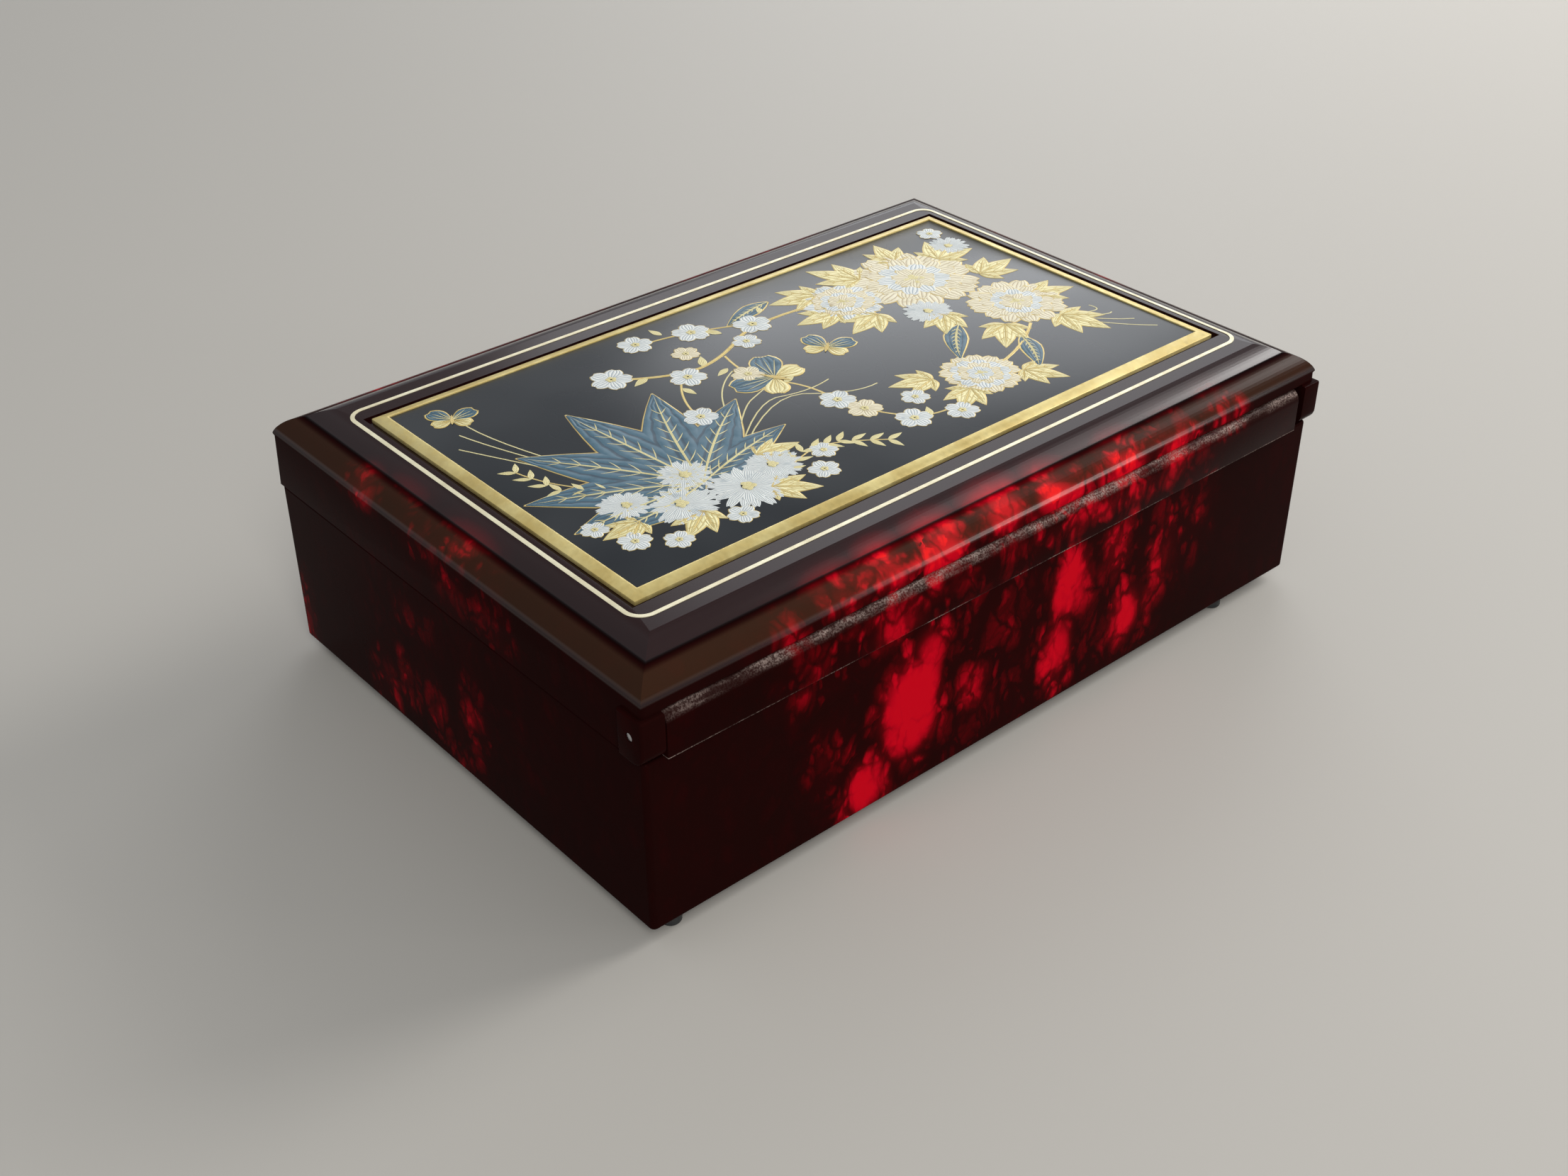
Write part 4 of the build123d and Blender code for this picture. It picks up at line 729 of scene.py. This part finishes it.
# %% [markdown]
# The vertical corners are only slightly round, and the mitre ridges above them stay crisp, so
# they are marked sharp. The top then gets the shallow bed for the border and the panel, and the
# underside is hollowed in two steps, as the mould leaves it. The back is cut away where the rail
# lies.

# %% Lid: corners, panel bed and hollow
FLAT_TOP, FLAT_TOP_HALF, BED_HALF, BED_DEPTH = 74.2, (101.0, 64.0), (98.55, 54.85), 1.25
INSIDE_X, INSIDE_Y, DEEP_X, DEEP_Y = 112.6, 75.6, 103.0, 66.0
LUG_INSIDE, LUG_OUTSIDE, REAR = 109.8, 116.3, -79.3


def upright_corner(a, b):
    return abs(a.x - b.x) < 0.0006 and abs(a.y - b.y) < 0.0006 and abs(a.z - b.z) > 0.01


def on_mitre(v):
    return v.z > 0.0665 and abs(abs(v.x) - abs(v.y) - (HALF_X - HALF_Y) * MM) < 2e-5


round_edges(lid, upright_corner, 1.4, 5)
pick(lid, edges=lambda a, b: on_mitre(a) and on_mitre(b) and abs(a.x - b.x) > 1e-6)
bpy.ops.mesh.mark_sharp()

pick(lid, faces=lambda c, n: n.z > 0.9 and c.z > (FLAT_TOP - 0.1) * MM)
extrude_up(0)
resize(*[bed / top for bed, top in zip(BED_HALF, FLAT_TOP_HALF)])
extrude_up(-BED_DEPTH)
pick(lid, faces=lambda c, n: c.z < (SKIRT_FOOT + 0.1) * MM and n.z < -0.9)
bpy.ops.mesh.delete(type="FACE")
pick(lid, edges=both(lambda v: v.z < (SKIRT_FOOT + 0.01) * MM))
bpy.ops.mesh.edge_face_add()
faces_outward()

hollow = block("hollow", (-INSIDE_X, -INSIDE_Y, 40.0), (INSIDE_X, INSIDE_Y, 67.4))
combine(hollow, block("deep hollow", (-DEEP_X, -DEEP_Y, 60.0), (DEEP_X, DEEP_Y, 71.0)), "UNION")
combine(lid, hollow, "DIFFERENCE")
rail_room = block("rail room", (-LUG_INSIDE, -84.0, 45.0), (LUG_INSIDE, -INSIDE_Y, 64.1))
combine(lid, rail_room, "DIFFERENCE")
for side in (-1, 1):
    low_x, high_x = sorted((side * LUG_INSIDE, side * (LUG_OUTSIDE + 0.1)))
    combine(lid, block("heel room", (low_x, -82.0, 51.0), (high_x, -75.8, 55.0)), "DIFFERENCE")
print("lid faces after hollowing", len(lid.data.polygons))

# %% [markdown]
# Two lugs hang from the back corners and hold the hinge pins. Their heels are well rounded, so
# that they turn clear of the body. A low thumb lip sits at the front.

# %% Lid: lugs, thumb lip and pin bores
PIN_Y, PIN_Z = -75.0, 58.2


def at_rear(v):
    return v.y < (REAR + 0.3) * MM


def lug(side):
    front, top = -70.7, 63.6
    piece = block("lug", (LUG_INSIDE, REAR, SKIRT_FOOT), (LUG_OUTSIDE, front, top))
    heel = both(lambda v: at_rear(v) and v.z < (SKIRT_FOOT + 0.5) * MM)
    outer_end = both(lambda v: v.x > (LUG_OUTSIDE - 0.3) * MM)
    rear_top = both(lambda v: at_rear(v) and v.z > (top - 0.1) * MM)
    round_edges(piece, heel, 3.5, 10)
    round_edges(piece, lambda a, b: outer_end(a, b) or rear_top(a, b), 0.6, 4)
    combine(piece, block("lug root", (LUG_INSIDE, -77.2, 60.0), (113.0, front, 68.2)), "UNION")
    if side < 0:
        work_on(piece)
        bpy.ops.transform.mirror(constraint_axis=(True, False, False), center_override=(0, 0, 0))
        put_down(piece)
        pick(piece, faces=everything)
        faces_outward()
    return piece


def pin_bore(radius):
    """A long bar on the hinge's axis, to cut the pins' holes with."""
    return round_bar(radius * MM, 0.3, (0, PIN_Y * MM, PIN_Z * MM), 40, lying=True)


for side in (-1, 1):
    combine(lid, lug(side), "UNION")
thumb = block("thumb lip", (-22.0, 77.0, SKIRT_FOOT), (22.0, -REAR, 57.0))
round_edges(thumb, lambda a, b: a.y > 0.079 and b.y > 0.079 and abs(a.z - b.z) > 0.004, 1.1, 1)
round_edges(thumb, both(lambda v: v.z > 0.0569 and v.y > 0.0781), 0.7, 4)
combine(lid, thumb, "UNION")
combine(lid, pin_bore(1.15), "DIFFERENCE")
smooth(lid, 24)
place(lid, "lid_cover", "lid", ruby, ["lid_shell"])
print("lid faces", len(lid.data.polygons))

# %% [markdown]
# ## Copies of measured pieces
# Many pieces already have the right shape in the measured model, where each is loose triangles
# with hard facets. A copy is merged, its flat faces are made whole again, its edges are rounded
# a little and its curves are shaded smooth. The copy then stands in for the measured one.

# %% The dressed copies
def dressed_copy(node, body, material, edge=0.0, segments=2, degrees=28):
    nothing_selected()
    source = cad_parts[node]
    piece = source.copy()
    piece.data = source.data.copy()
    for key in list(piece.keys()):
        del piece[key]
    piece.parent = None
    bpy.context.collection.objects.link(piece)
    piece.hide_render = False
    piece.matrix_world.identity()
    pick(piece, faces=everything)
    bpy.ops.mesh.remove_doubles(threshold=2e-6)
    bpy.ops.mesh.dissolve_limited(angle_limit=math.radians(0.5))
    bpy.ops.mesh.customdata_custom_splitnormals_clear()
    leave_edit()
    if edge:
        soften(piece, edge, segments)
    smooth(piece, degrees)
    return place(piece, node + "_dressed", body, material, [node])


print("measured pieces to copy from", len(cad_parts))

# %% [markdown]
# ## The box body and the hinge rail
# The body is a plain rounded tub with a floor that holds the key well and four screw posts, and its rim is
# rounded outside. The rail fills the back between the lugs. Its rounded top is where dust collects, with a
# painted sheen in it, and a painted highlight line runs along its foot.

# %% Body, rail and pins
BODY_RIM = 51.2
RAIL_LEFT, RAIL_RIGHT, RAIL_INSIDE = -109.4, 107.6, -70.9

body_cover = dressed_copy("base_shell", "base", ruby, degrees=30)


def outer_rim(a, b):
    """The edges round the top of the walls, outside."""
    level = all(abs(v.z - BODY_RIM * MM) < 2e-5 for v in (a, b))
    outside = all(abs(v.x) > 0.1135 or abs(v.y) > 0.0765 for v in (a, b))
    return level and outside and (a - b).length > 1e-5


round_edges(body_cover, outer_rim, 0.55, 3)
smooth(body_cover, 30)
print("body faces", len(body_cover.data.polygons))

rail = block("rail", (RAIL_LEFT, REAR, BODY_RIM), (RAIL_RIGHT, RAIL_INSIDE, 63.5))
round_edges(rail, both(lambda v: at_rear(v) and v.z > 0.063), 3.6, 14)
rail_leg = block("rail leg", (RAIL_LEFT, -73.9, 46.4), (RAIL_RIGHT, RAIL_INSIDE, 54.0))
combine(rail, rail_leg, "UNION")
combine(rail, pin_bore(1.12), "DIFFERENCE")
soften(rail, 0.25, 2, 40)
smooth(rail)
place(rail, "dust_and_sheen_rail", "base", dust_and_sheen_ruby, ["hinge_rail"])
for node in ("hinge_pin_left", "hinge_pin_right"):
    dressed_copy(node, "base", steel, 0.15)
print("rail faces", len(rail.data.polygons))

# %% [markdown]
# ## Rubber feet
# Each foot is a small turned button of rubber. It is drawn as a cylinder whose sole is bevelled
# round, with a narrower boss on top that goes up into the body. Each is set where the measured
# one is.

# %% Feet
BUTTON = 3.5 * MM
for node in ("rear_left_foot", "rear_right_foot", "front_left_foot", "front_right_foot"):
    low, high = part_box(node)
    middle = ((low[0] + high[0]) / 2, (low[1] + high[1]) / 2)
    radius = (high[0] - low[0]) / 2
    foot = round_bar(radius, BUTTON, (*middle, BUTTON / 2), 48)
    pick(foot, edges=both(lambda v: v.z < 1e-5))
    bpy.ops.mesh.bevel(offset=0.24 * radius, segments=6)
    pick(foot, faces=lambda c, n: n.z > 0.9 and c.z > BUTTON - 0.1 * MM)
    bpy.ops.mesh.inset(thickness=0.44 * radius)
    extrude_up((high[2] - BUTTON) / MM)
    leave_edit()
    smooth(foot, 35)
    place(foot, node + "_rubber", "base", rubber, [node])
print("foot radius in mm", round(radius / MM, 2))

# %% [markdown]
# ## The gold line and the border
# The thin line is foil pressed into the crown, and the wide border slopes up to a ridge around
# the panel. Both come from the measured model, and so does the panel.

# %% Line, border and panel
for node, slot, finish, edge in (
    ("gold_line", "gold_foil", gold_thread, 0.0),
    ("gold_border", "gold_foil", gold_foil, 0.15),
    ("art_panel", "lacquer_panel", slate, 0.12),
):
    piece = dressed_copy(node, "lid", finish, edge)
    print(node, "faces", len(piece.data.polygons))

# %% [markdown]
# ## The panel's printed design
# A garden in foil colours lies on the slate: big layered blossoms in cream, lobed yellow leaves,
# white flowers on thin branches, broad teal leaves with gold veins, daisies, grasses and three
# small butterflies. Every shape starts as one small sheet, a grid that is pulled to the outline
# of a petal or a leaf and raised a little along its middle, so that it catches the light as
# embossed foil does. Copies of it are laid out, and those of one colour are joined into one piece.

# %% Outlines of petals and leaves
PANEL_TOP = 74.7
RELIEF = 0.4  # the share of the drawn height that the print stands proud
random.seed(11)
inlays = {colour: [] for colour in PRINTS}

# half widths from the foot to the tip, the rise along the middle and the notch in the tip
OUTLINES = {
    "petal": ((0.22, 0.5, 0.74, 0.91, 1.0, 1.0, 0.92, 0.74, 0.42), 0.16, 0.07),
    "leaf": ((0.12, 0.58, 0.86, 1.0, 0.93, 0.78, 0.56, 0.31, 0.03), 0.14, 0.0),
    "wing": ((0.14, 0.34, 0.58, 0.82, 1.0, 1.1, 1.06, 0.88, 0.5), 0.1, 0.04),
    "blade": ((0.5, 0.72, 0.9, 1.0, 0.97, 0.86, 0.68, 0.42, 0.06), 0.05, 0.0),
    "bead": ((0.3, 0.72, 0.93, 1.0, 1.0, 0.96, 0.84, 0.62, 0.28), 0.2, 0.0),
}


def pulled_sheet(name):
    """A grid of eight by two, one long and one wide, pulled to the named outline."""
    widths, ridge, notch = OUTLINES[name]
    nothing_selected()
    bpy.ops.mesh.primitive_grid_add(x_subdivisions=8, y_subdivisions=2, size=1, calc_uvs=True)
    sheet = bpy.context.object
    for vertex in sheet.data.vertices:
        along, across = vertex.co.x + 0.5, vertex.co.y * 2
        step = min(7, int(along * 8))
        half = widths[step] + (widths[step + 1] - widths[step]) * (along * 8 - step)
        inner = 1 - abs(across)
        cut_back = notch * inner if along > 0.99 else 0
        raised = ridge * inner * math.sin(math.pi * (0.15 + 0.8 * along))
        vertex.co = (along - cut_back, across * half / 2, raised)
    sheet.name = "sheet_" + name
    return sheet


patterns = {name: pulled_sheet(name) for name in OUTLINES}
print("outlines", list(patterns))

# %% [markdown]
# A copy of an outline is laid down at a place, with its length, its width and the way it points.
# Most shapes lie on a slightly larger gold one, which leaves a gold outline. A stem is a thin
# ribbon that follows a curve.

# %% Laying the shapes down
def away(x, y, distance, degrees):
    """The point at a distance from another, in a direction."""
    turn = math.radians(degrees)
    return x + distance * math.cos(turn), y + distance * math.sin(turn)


def lay(outline, colour, x, y, length, width, turn, lift=0.0, curl=0.0):
    """Copies an outline to a place on the panel, sized in millimetres, turned and bent."""
    piece = patterns[outline].copy()
    piece.data = patterns[outline].data.copy()
    bpy.context.collection.objects.link(piece)
    cos_turn, sin_turn = math.cos(math.radians(turn)), math.sin(math.radians(turn))
    for vertex in piece.data.vertices:
        ahead, aside = vertex.co.x * length, vertex.co.y * width + curl * length * vertex.co.x**2
        vertex.co = (
            (x + ahead * cos_turn - aside * sin_turn) * MM,
            (y + ahead * sin_turn + aside * cos_turn) * MM,
            (PANEL_TOP + 0.015 + RELIEF * (lift + vertex.co.z)) * MM,
        )
    inlays[colour].append(piece)


def outlined(outline, colour, x, y, length, width, turn, lift=0.0, curl=0.0, edge=0.45):
    """A shape on a slightly larger gold one."""
    back_x, back_y = away(x, y, -edge, turn)
    lay(outline, "gold", back_x, back_y, length + 2 * edge, width + 2 * edge, turn, lift, curl)
    lay(outline, colour, x, y, length, width, turn, lift + 0.05, curl)


def stem(points, width=0.5, colour="gold"):
    """A thin, nearly flat ribbon that bends through the points, made from a curve."""
    ground = (PANEL_TOP + 0.02) * MM
    nothing_selected()
    bpy.ops.curve.primitive_bezier_curve_add()
    line = bpy.context.object
    line.data.splines.clear()
    spline = line.data.splines.new("NURBS")
    spline.points.add(len(points) - 1)
    for point, (x, y) in zip(spline.points, points):
        point.co = (x * MM, y * MM, ground, 1)
    spline.order_u = 3
    spline.use_endpoint_u = True
    line.data.dimensions = "3D"
    line.data.bevel_depth = width / 2 * MM
    line.data.bevel_resolution = 1
    line.data.resolution_u = 6
    work_on(line)
    bpy.ops.object.convert(target="MESH")
    ribbon = bpy.context.object
    ribbon.location = (0, 0, 0)
    ribbon.rotation_euler = (0, 0, 0)
    for vertex in ribbon.data.vertices:
        vertex.co.z = ground + (vertex.co.z - ground) * 0.09
    put_down(ribbon)
    inlays[colour].append(ribbon)


print("colours to lay down", list(inlays))

# %% [markdown]
# A blossom is several rings of petals, each ring higher and shorter than the one under it. A
# lobed leaf is five leaves from one foot with a vein along each, and a broad leaf has a middle
# vein with pairs of side veins.

# %% Leaves and sprays
LOBES = ((0, 1.0), (34, 0.8), (-34, 0.8), (74, 0.52), (-74, 0.52))


def lobed_leaf(x, y, length, turn):
    """A leaf of five lobes from one foot, with a vein along each."""
    for lean, share in LOBES:
        angle, lobe = turn + lean, length * share
        outlined("leaf", "straw", x, y, lobe, lobe * 0.42, angle, 0.0, 0.0, 0.35)
        lay("blade", "gold", x, y, lobe * 0.86, 0.42, angle, 0.2)
        for step in (0.3, 0.55):
            for side in (-35, 35):
                lay("blade", "gold", *away(x, y, lobe * step, angle), lobe * 0.2, 0.26, angle + side, 0.19)


def broad_leaf(x, y, length, turn, curl=0.0, width=0.36):
    """A teal leaf with a gold edge, a middle vein and seven pairs of side veins."""
    outlined("leaf", "teal", x, y, length, length * width, turn, 0.0, curl, 0.5)
    lay("blade", "straw", x, y, length * 0.95, 0.7, turn, 0.2, curl)
    for step in range(1, 8):
        share = 0.11 * step
        vein_x, vein_y = away(*away(x, y, length * share, turn), curl * length * share**2, turn + 90)
        vein = length * width * (0.46 - 0.036 * step)
        bend = math.degrees(math.atan(2 * curl * share))
        for side in (-1, 1):
            lay("blade", "straw", vein_x, vein_y, vein, 0.34, turn + bend + side * 40, 0.17, -0.12 * side)


def spray(points, size):
    """A thin stem with pairs of small leaves along it."""
    stem(points, 0.45)
    for (start_x, start_y), (end_x, end_y) in zip(points, points[1:]):
        heading = math.degrees(math.atan2(end_y - start_y, end_x - start_x))
        for share in (0.25, 0.6, 0.95):
            at = start_x + (end_x - start_x) * share, start_y + (end_y - start_y) * share
            for side in (-42, 42):
                lay("leaf", "straw", *at, size, size * 0.36, heading + side, 0.05)


print("leaf lobes", len(LOBES))

# %% Flowers and butterflies
# foot and length of the petals in each ring of a blossom, as shares of its radius
RINGS = ((0.42, 0.6), (0.27, 0.52), (0.14, 0.44), (0.03, 0.34))


def blossom(x, y, radius, turn, colours, counts):
    """A layered flower with a beaded heart."""
    for ring, (count, (foot, reach)) in enumerate(zip(counts, RINGS)):
        wide = radius * 2 * math.pi * (foot + reach * 0.7) / count * 1.08
        for petal in range(count):
            angle = turn + 360.0 / count * (petal + 0.5 * (ring % 2)) + random.uniform(-4, 4)
            at = away(x, y, radius * foot, angle)
            length = radius * reach * random.uniform(0.9, 1.06)
            lean = random.uniform(-0.1, 0.1)
            outlined("petal", colours[ring], *at, length, wide, angle, 0.13 * ring, lean, 0.3)
    size = radius * 0.1
    for bead in range(9):
        at = away(x, y, radius * 0.034 * bead**0.6, math.degrees(bead * 140.0))
        lay("bead", "straw", *at, size, size, bead * 40, 0.5)


def small_flower(x, y, size, colour, turn):
    """A flat flower of five petals with a gold heart."""
    for petal in range(5):
        angle = turn + 360.0 / 5 * petal
        at = away(x, y, 0.12 * size, angle)
        outlined("petal", colour, *at, size * 0.9, size * 0.86, angle, 0.05, 0.0, 0.16)
    for bead in range(5):
        at = away(x - 0.1 * size, y, 0.16 * size, math.degrees(bead * 1.257))
        lay("bead", "straw", *at, size * 0.22, size * 0.22, 0, 0.3)


def daisy(x, y, radius, turn):
    """Two rings of slim white petals round a yellow heart."""
    for ring, (count, share) in enumerate(((17, 1.0), (14, 0.78))):
        for petal in range(count):
            angle = turn + 360.0 / count * (petal + 0.5 * ring)
            at = away(x, y, 0.16 * radius, angle)
            length = radius * share * random.uniform(0.78, 0.86)
            lean = random.uniform(-0.12, 0.12)
            lay("petal", "white", *at, length, radius * 0.27, angle, 0.05 + 0.1 * ring, lean)
    for bead in range(8):
        at = away(x - 0.06 * radius, y, radius * 0.05 * bead**0.5, math.degrees(bead * 2.4))
        lay("bead", "straw", *at, radius * 0.16, radius * 0.16, 0, 0.3)


def butterfly(x, y, span, turn):
    """Four veined wings, a body and two feelers."""
    for side in (-1, 1):
        for colour, vein_colour, lean, share, wide in (
            ("teal", "straw", 52, 0.56, 0.62), ("straw", "gold", 118, 0.4, 0.66),
        ):
            angle, wing = turn + side * lean, span * share
            outlined("wing", colour, x, y, wing, wing * wide, angle, 0.05, 0.0, 0.4)
            for vein in (-16, 0, 16):
                lay("blade", vein_colour, x, y, wing * 0.85, 0.3, angle + vein, 0.25)
        lay("blade", "straw", x, y, span * 0.34, 0.28, turn + side * 16, 0.1, side * 0.3)
    lay("leaf", "gold", *away(x, y, -span * 0.2, turn), span * 0.4, span * 0.07, turn, 0.3)


print("blossom rings", len(RINGS))

# %% [markdown]
# The layout runs along the panel. Broad teal leaves, daisies and sprays fill the left end, a
# branch of small white flowers crosses the middle, and big blossoms with yellow leaves take the
# right end, so the ground stays free between them.

# %% Layout of the design: left end
for turn, length, curl in (
    (196, 30, -0.15), (172, 36, 0.1), (146, 42, 0.12), (120, 47, 0.08),
    (96, 49, 0.0), (72, 47, -0.08), (47, 42, -0.12), (22, 34, -0.12),
):
    broad_leaf(-56.0, -26.0, length, turn, curl)
for x, y, length, turn in (
    (-64, -36, 12, 215), (-45, -38, 12, 320), (-38, -24, 12, 350), (-78, -30, 11, 185),
):
    lobed_leaf(x, y, length, turn)
for x, y, radius, turn in (
    (-66, -30, 9.5, 4), (-49, -34, 10.5, 11), (-57, -20, 8.5, 7), (-38, -30, 8.0, 0), (-76, -22, 7.5, 9),
):
    daisy(x, y, radius, turn)
for x, y, size in (
    (-84, -36, 4.0), (-76, -42, 3.6), (-30, -40, 4.0), (-24, -33, 3.6), (-88, -26, 3.4), (-58, -43, 3.8),
):
    small_flower(x, y, size, "white", x * 7.0)
spray(((-40, -36), (-28, -30), (-18, -32), (-8, -40)), 5.0)
spray(((-72, -16), (-84, -6), (-87, 8)), 4.6)
print("shapes at the left end", sum(len(parts) for parts in inlays.values()))

# %% Layout of the design: right end
CREAM_BLOSSOM, WHITE_BLOSSOM = ("cream", "cream", "white", "cream"), ("white", "cream", "white", "cream")
for x, y, length, turn in (
    (50, 34, 16, 120), (34, 34, 15, 165), (66, 36, 13, 75), (77, 29, 16, 30), (79, 14, 14, 5),
    (79, -5, 14, -20), (76, -20, 15, -75), (60, -14, 14, 225), (38, 14, 14, 200), (30, 22, 13, 175),
    (52, 2, 13, 230), (26, -34, 12, 215), (44, -36, 12, 300), (22, -24, 12, 160),
):
    lobed_leaf(x, y, length, turn)
blossom(62, 24, 18.5, 5, CREAM_BLOSSOM, (15, 13, 10, 7))
blossom(36, 26, 11.5, 20, WHITE_BLOSSOM, (13, 11, 8, 6))
blossom(73, -6, 13.5, 12, CREAM_BLOSSOM, (14, 12, 9, 6))
blossom(34, -30, 10.5, 30, ("cream", "white", "cream", "white"), (13, 10, 8, 6))
for x, y, length, turn, curl in ((50, -6, 20, 215, 0.2), (58, -22, 18, 250, -0.2), (20, 40, 18, 185, 0.15)):
    broad_leaf(x, y, length, turn, curl, 0.32)
daisy(50, 6, 7.5, 3)
daisy(86, 34, 6.5, 8)
print("shapes at both ends", sum(len(parts) for parts in inlays.values()))

# %% Layout of the design: branches, grasses and butterflies
for points, width in (
    (((28, 30), (8, 33), (-10, 22), (-26, 20), (-40, 30)), 1.1),
    (((8, 32), (-6, 40), (-22, 42)), 0.7),
    (((-10, 22), (-14, 8), (-4, -4), (-4, -14)), 0.7),
    (((-26, 20), (-34, 12), (-36, 2)), 0.6),
    (((66, -18), (50, -30), (34, -30)), 0.9),
    (((30, -36), (14, -40), (2, -34), (-2, -24)), 0.6),
):
    stem(points, width)
for x, y, size, colour in (
    (-41, 31, 5.6, "white"), (-25, 19, 5.0, "white"), (-24, 43, 4.8, "white"), (-8, 39, 5.2, "white"),
    (-4, -16, 4.8, "white"), (-12, 10, 4.4, "cream"), (8, 32, 5.4, "white"), (-36, 0, 4.6, "white"),
    (-2, -24, 4.6, "cream"), (4, -36, 4.8, "white"), (16, -41, 4.4, "white"), (-17, 30, 3.8, "cream"),
    (0, 25, 4.0, "white"), (12, -28, 3.8, "white"), (88, 44, 3.8, "white"),
):
    small_flower(x, y, size, colour, x * 5.0 + y)
for x, y, size, turn in (
    (-33, 26, 6, 200), (-18, 21, 6, 60), (-2, 33, 6, 120), (-14, 16, 5, 200), (-8, 0, 5, 20),
    (14, 36, 6, 60), (-30, 15, 5, 280), (-15, 43, 5, 100), (8, -38, 5, 60),
):
    lay("leaf", "straw", x, y, size, size * 0.42, turn, 0.05)
for n in range(4):
    grass = ((-50, -30), (-32 + 5 * n, -6 + 2 * n), (-22 + 8 * n, 10 - 9 * n), (-14 + 8 * n, 14 - 10 * n))
    stem(grass, 0.4, "straw")
    stem(((74, -18), (80 + 3 * n, -32 + n), (91 - 1.5 * n, -42 + 7 * n)), 0.4, "straw")
for n in range(3):
    stem(((-62, -30), (-80 - 2 * n, 4 + 8 * n), (-91 + 4 * n, 26 + 6 * n)), 0.4, "straw")
butterfly(-8, 4, 22, 118)
butterfly(14, 8, 15, 40)
butterfly(-84, 40, 13, 60)
print("shapes in all", sum(len(parts) for parts in inlays.values()))

# %% Joining the design, colour by colour
for pattern in patterns.values():
    bpy.data.objects.remove(pattern, do_unlink=True)
for colour, parts in inlays.items():
    nothing_selected()
    for part in parts:
        part.select_set(True)
    bpy.context.view_layer.objects.active = parts[0]
    bpy.ops.object.join()
    inlay = bpy.context.object
    smooth(inlay, 50)
    place(inlay, colour + "_inlay", "lid", PRINTS[colour])
    reach = [max(abs(vertex.co[axis]) for vertex in inlay.data.vertices) / MM for axis in (0, 1)]
    print(colour, "inlay faces", len(inlay.data.polygons), "reach", [round(v, 1) for v in reach])

# %% [markdown]
# ## Velvet inside
# The lining, the partitions and the bed of the ring tray are card wrapped in velvet, so their
# edges are full and soft.

# %% Lining and partitions
for node in (
    "base_liner", "bay_partition", "movement_partition", "rear_partition", "ring_partition", "ring_bed",
):
    lining = dressed_copy(node, "base", velvet, 0.5, 3)
    print(node, "faces", len(lining.data.polygons))

# %% [markdown]
# ## Ring rolls
# Each roll is a strip of foam in velvet, tight over its rounded back, drawn in at the foot and
# tucked at both ends. A cube is stretched to the roll's size, its back and ends are bevelled
# round, it is cut into short lengths and these are moved a little, as foam never lies dead
# straight.

# %% Rolls
ROLL_HEIGHT = 0.016
for number in range(1, 7):
    node = "ring_roll_%d" % number
    low, high = [[v / MM for v in corner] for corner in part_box(node)]
    roll = block(node, (low[0] + 0.3, low[1] + 0.35, low[2]), (high[0] - 0.3, high[1] - 0.35, high[2]))
    foot, top, middle_y = low[2] * MM, high[2] * MM, (low[1] + high[1]) / 2 * MM

    def lengthwise(a, b):
        return abs(a.x - b.x) > 0.1

    round_edges(roll, lambda a, b: lengthwise(a, b) and a.z > top - 1e-4 and b.z > top - 1e-4, 4.4, 8)
    round_edges(roll, lambda a, b: abs(a.x - b.x) < 1e-5 and max(a.z, b.z) > top - 0.012, 1.6, 4)
    pick(roll, edges=lengthwise)
    bpy.ops.mesh.subdivide(number_cuts=36)
    leave_edit()
    for vertex in roll.data.vertices:
        x, y, z = vertex.co
        height = (z - foot) / ROLL_HEIGHT
        belly = 1.0 + 0.06 * math.sin(math.pi * min(1.0, max(0.0, height / 0.75)))
        wave = 0.12 * MM * math.sin(x * 60.0 + number * 1.7)
        vertex.co.y = middle_y + (y - middle_y) * belly + wave * height
        vertex.co.z += 0.25 * MM * height * (math.sin(x * 45.0 + number * 2.3) - 1)
    smooth(roll, 60)
    place(roll, "velvet_roll_%d" % number, "base", roll_velvet, [node])
print("roll faces", len(roll.data.polygons))

# %% [markdown]
# ## Mirror, window and movement
# The mirror sits in a moulded frame inside the lid. A framed clear window covers the movement,
# where a toothed comb, a cylinder with small pins, a spring barrel and an air-brake fan are seen.

# %% Mirror, window and movement
dressed_copy("mirror_frame", "lid", dark_plastic, 0.4, 3)
for node, body, slot, finish, edge in (
    ("mirror_glass", "lid", "mirror", mirror_finish, 0.3),
    ("mirror_backing", "lid", "fibreboard", board, 0.3),
    ("window_frame", "base", "dark_plastic", dark_plastic, 0.2),
    ("window_pane", "base", "clear_plastic", clear, 0.1),
    ("plunger_bushing", "base", "brass", brass, 0.12),
    ("stop_plunger", "plunger", "steel", steel, 0.1),
    ("bedplate", "base", "zinc", zinc, 0.2),
    ("movement_screws", "base", "steel", steel, 0.1),
    ("comb", "base", "steel", spring_steel, 0.0),
    ("comb_bar", "base", "brass", brass, 0.15),
    ("comb_screws", "base", "steel", steel, 0.08),
    ("governor_bracket", "base", "brass", brass, 0.1),
    ("governor_screws", "base", "steel", steel, 0.06),
    ("spring_barrel", "barrel", "brass", brass, 0.0),
    ("barrel_cap", "barrel", "brass", brass, 0.15),
    ("winding_key", "key", "steel", steel, 0.25),
    ("winding_arbor", "key", "steel", steel, 0.12),
    ("pinned_cylinder", "cylinder", "brass", brass, 0.0),
    ("cylinder_arbor", "cylinder", "steel", steel, 0.1),
    ("cylinder_wheel", "cylinder", "brass", brass, 0.0),
    ("cylinder_pinion", "cylinder", "brass", brass, 0.0),
    ("governor_arbor", "governor", "steel", steel, 0.0),
    ("worm_wheel", "governor", "dark_plastic", dark_plastic, 0.0),
    ("worm_spindle", "worm", "steel", steel, 0.0),
    ("air_fan", "worm", "brass", brass, 0.05),
):
    dressed_copy(node, body, finish, edge)
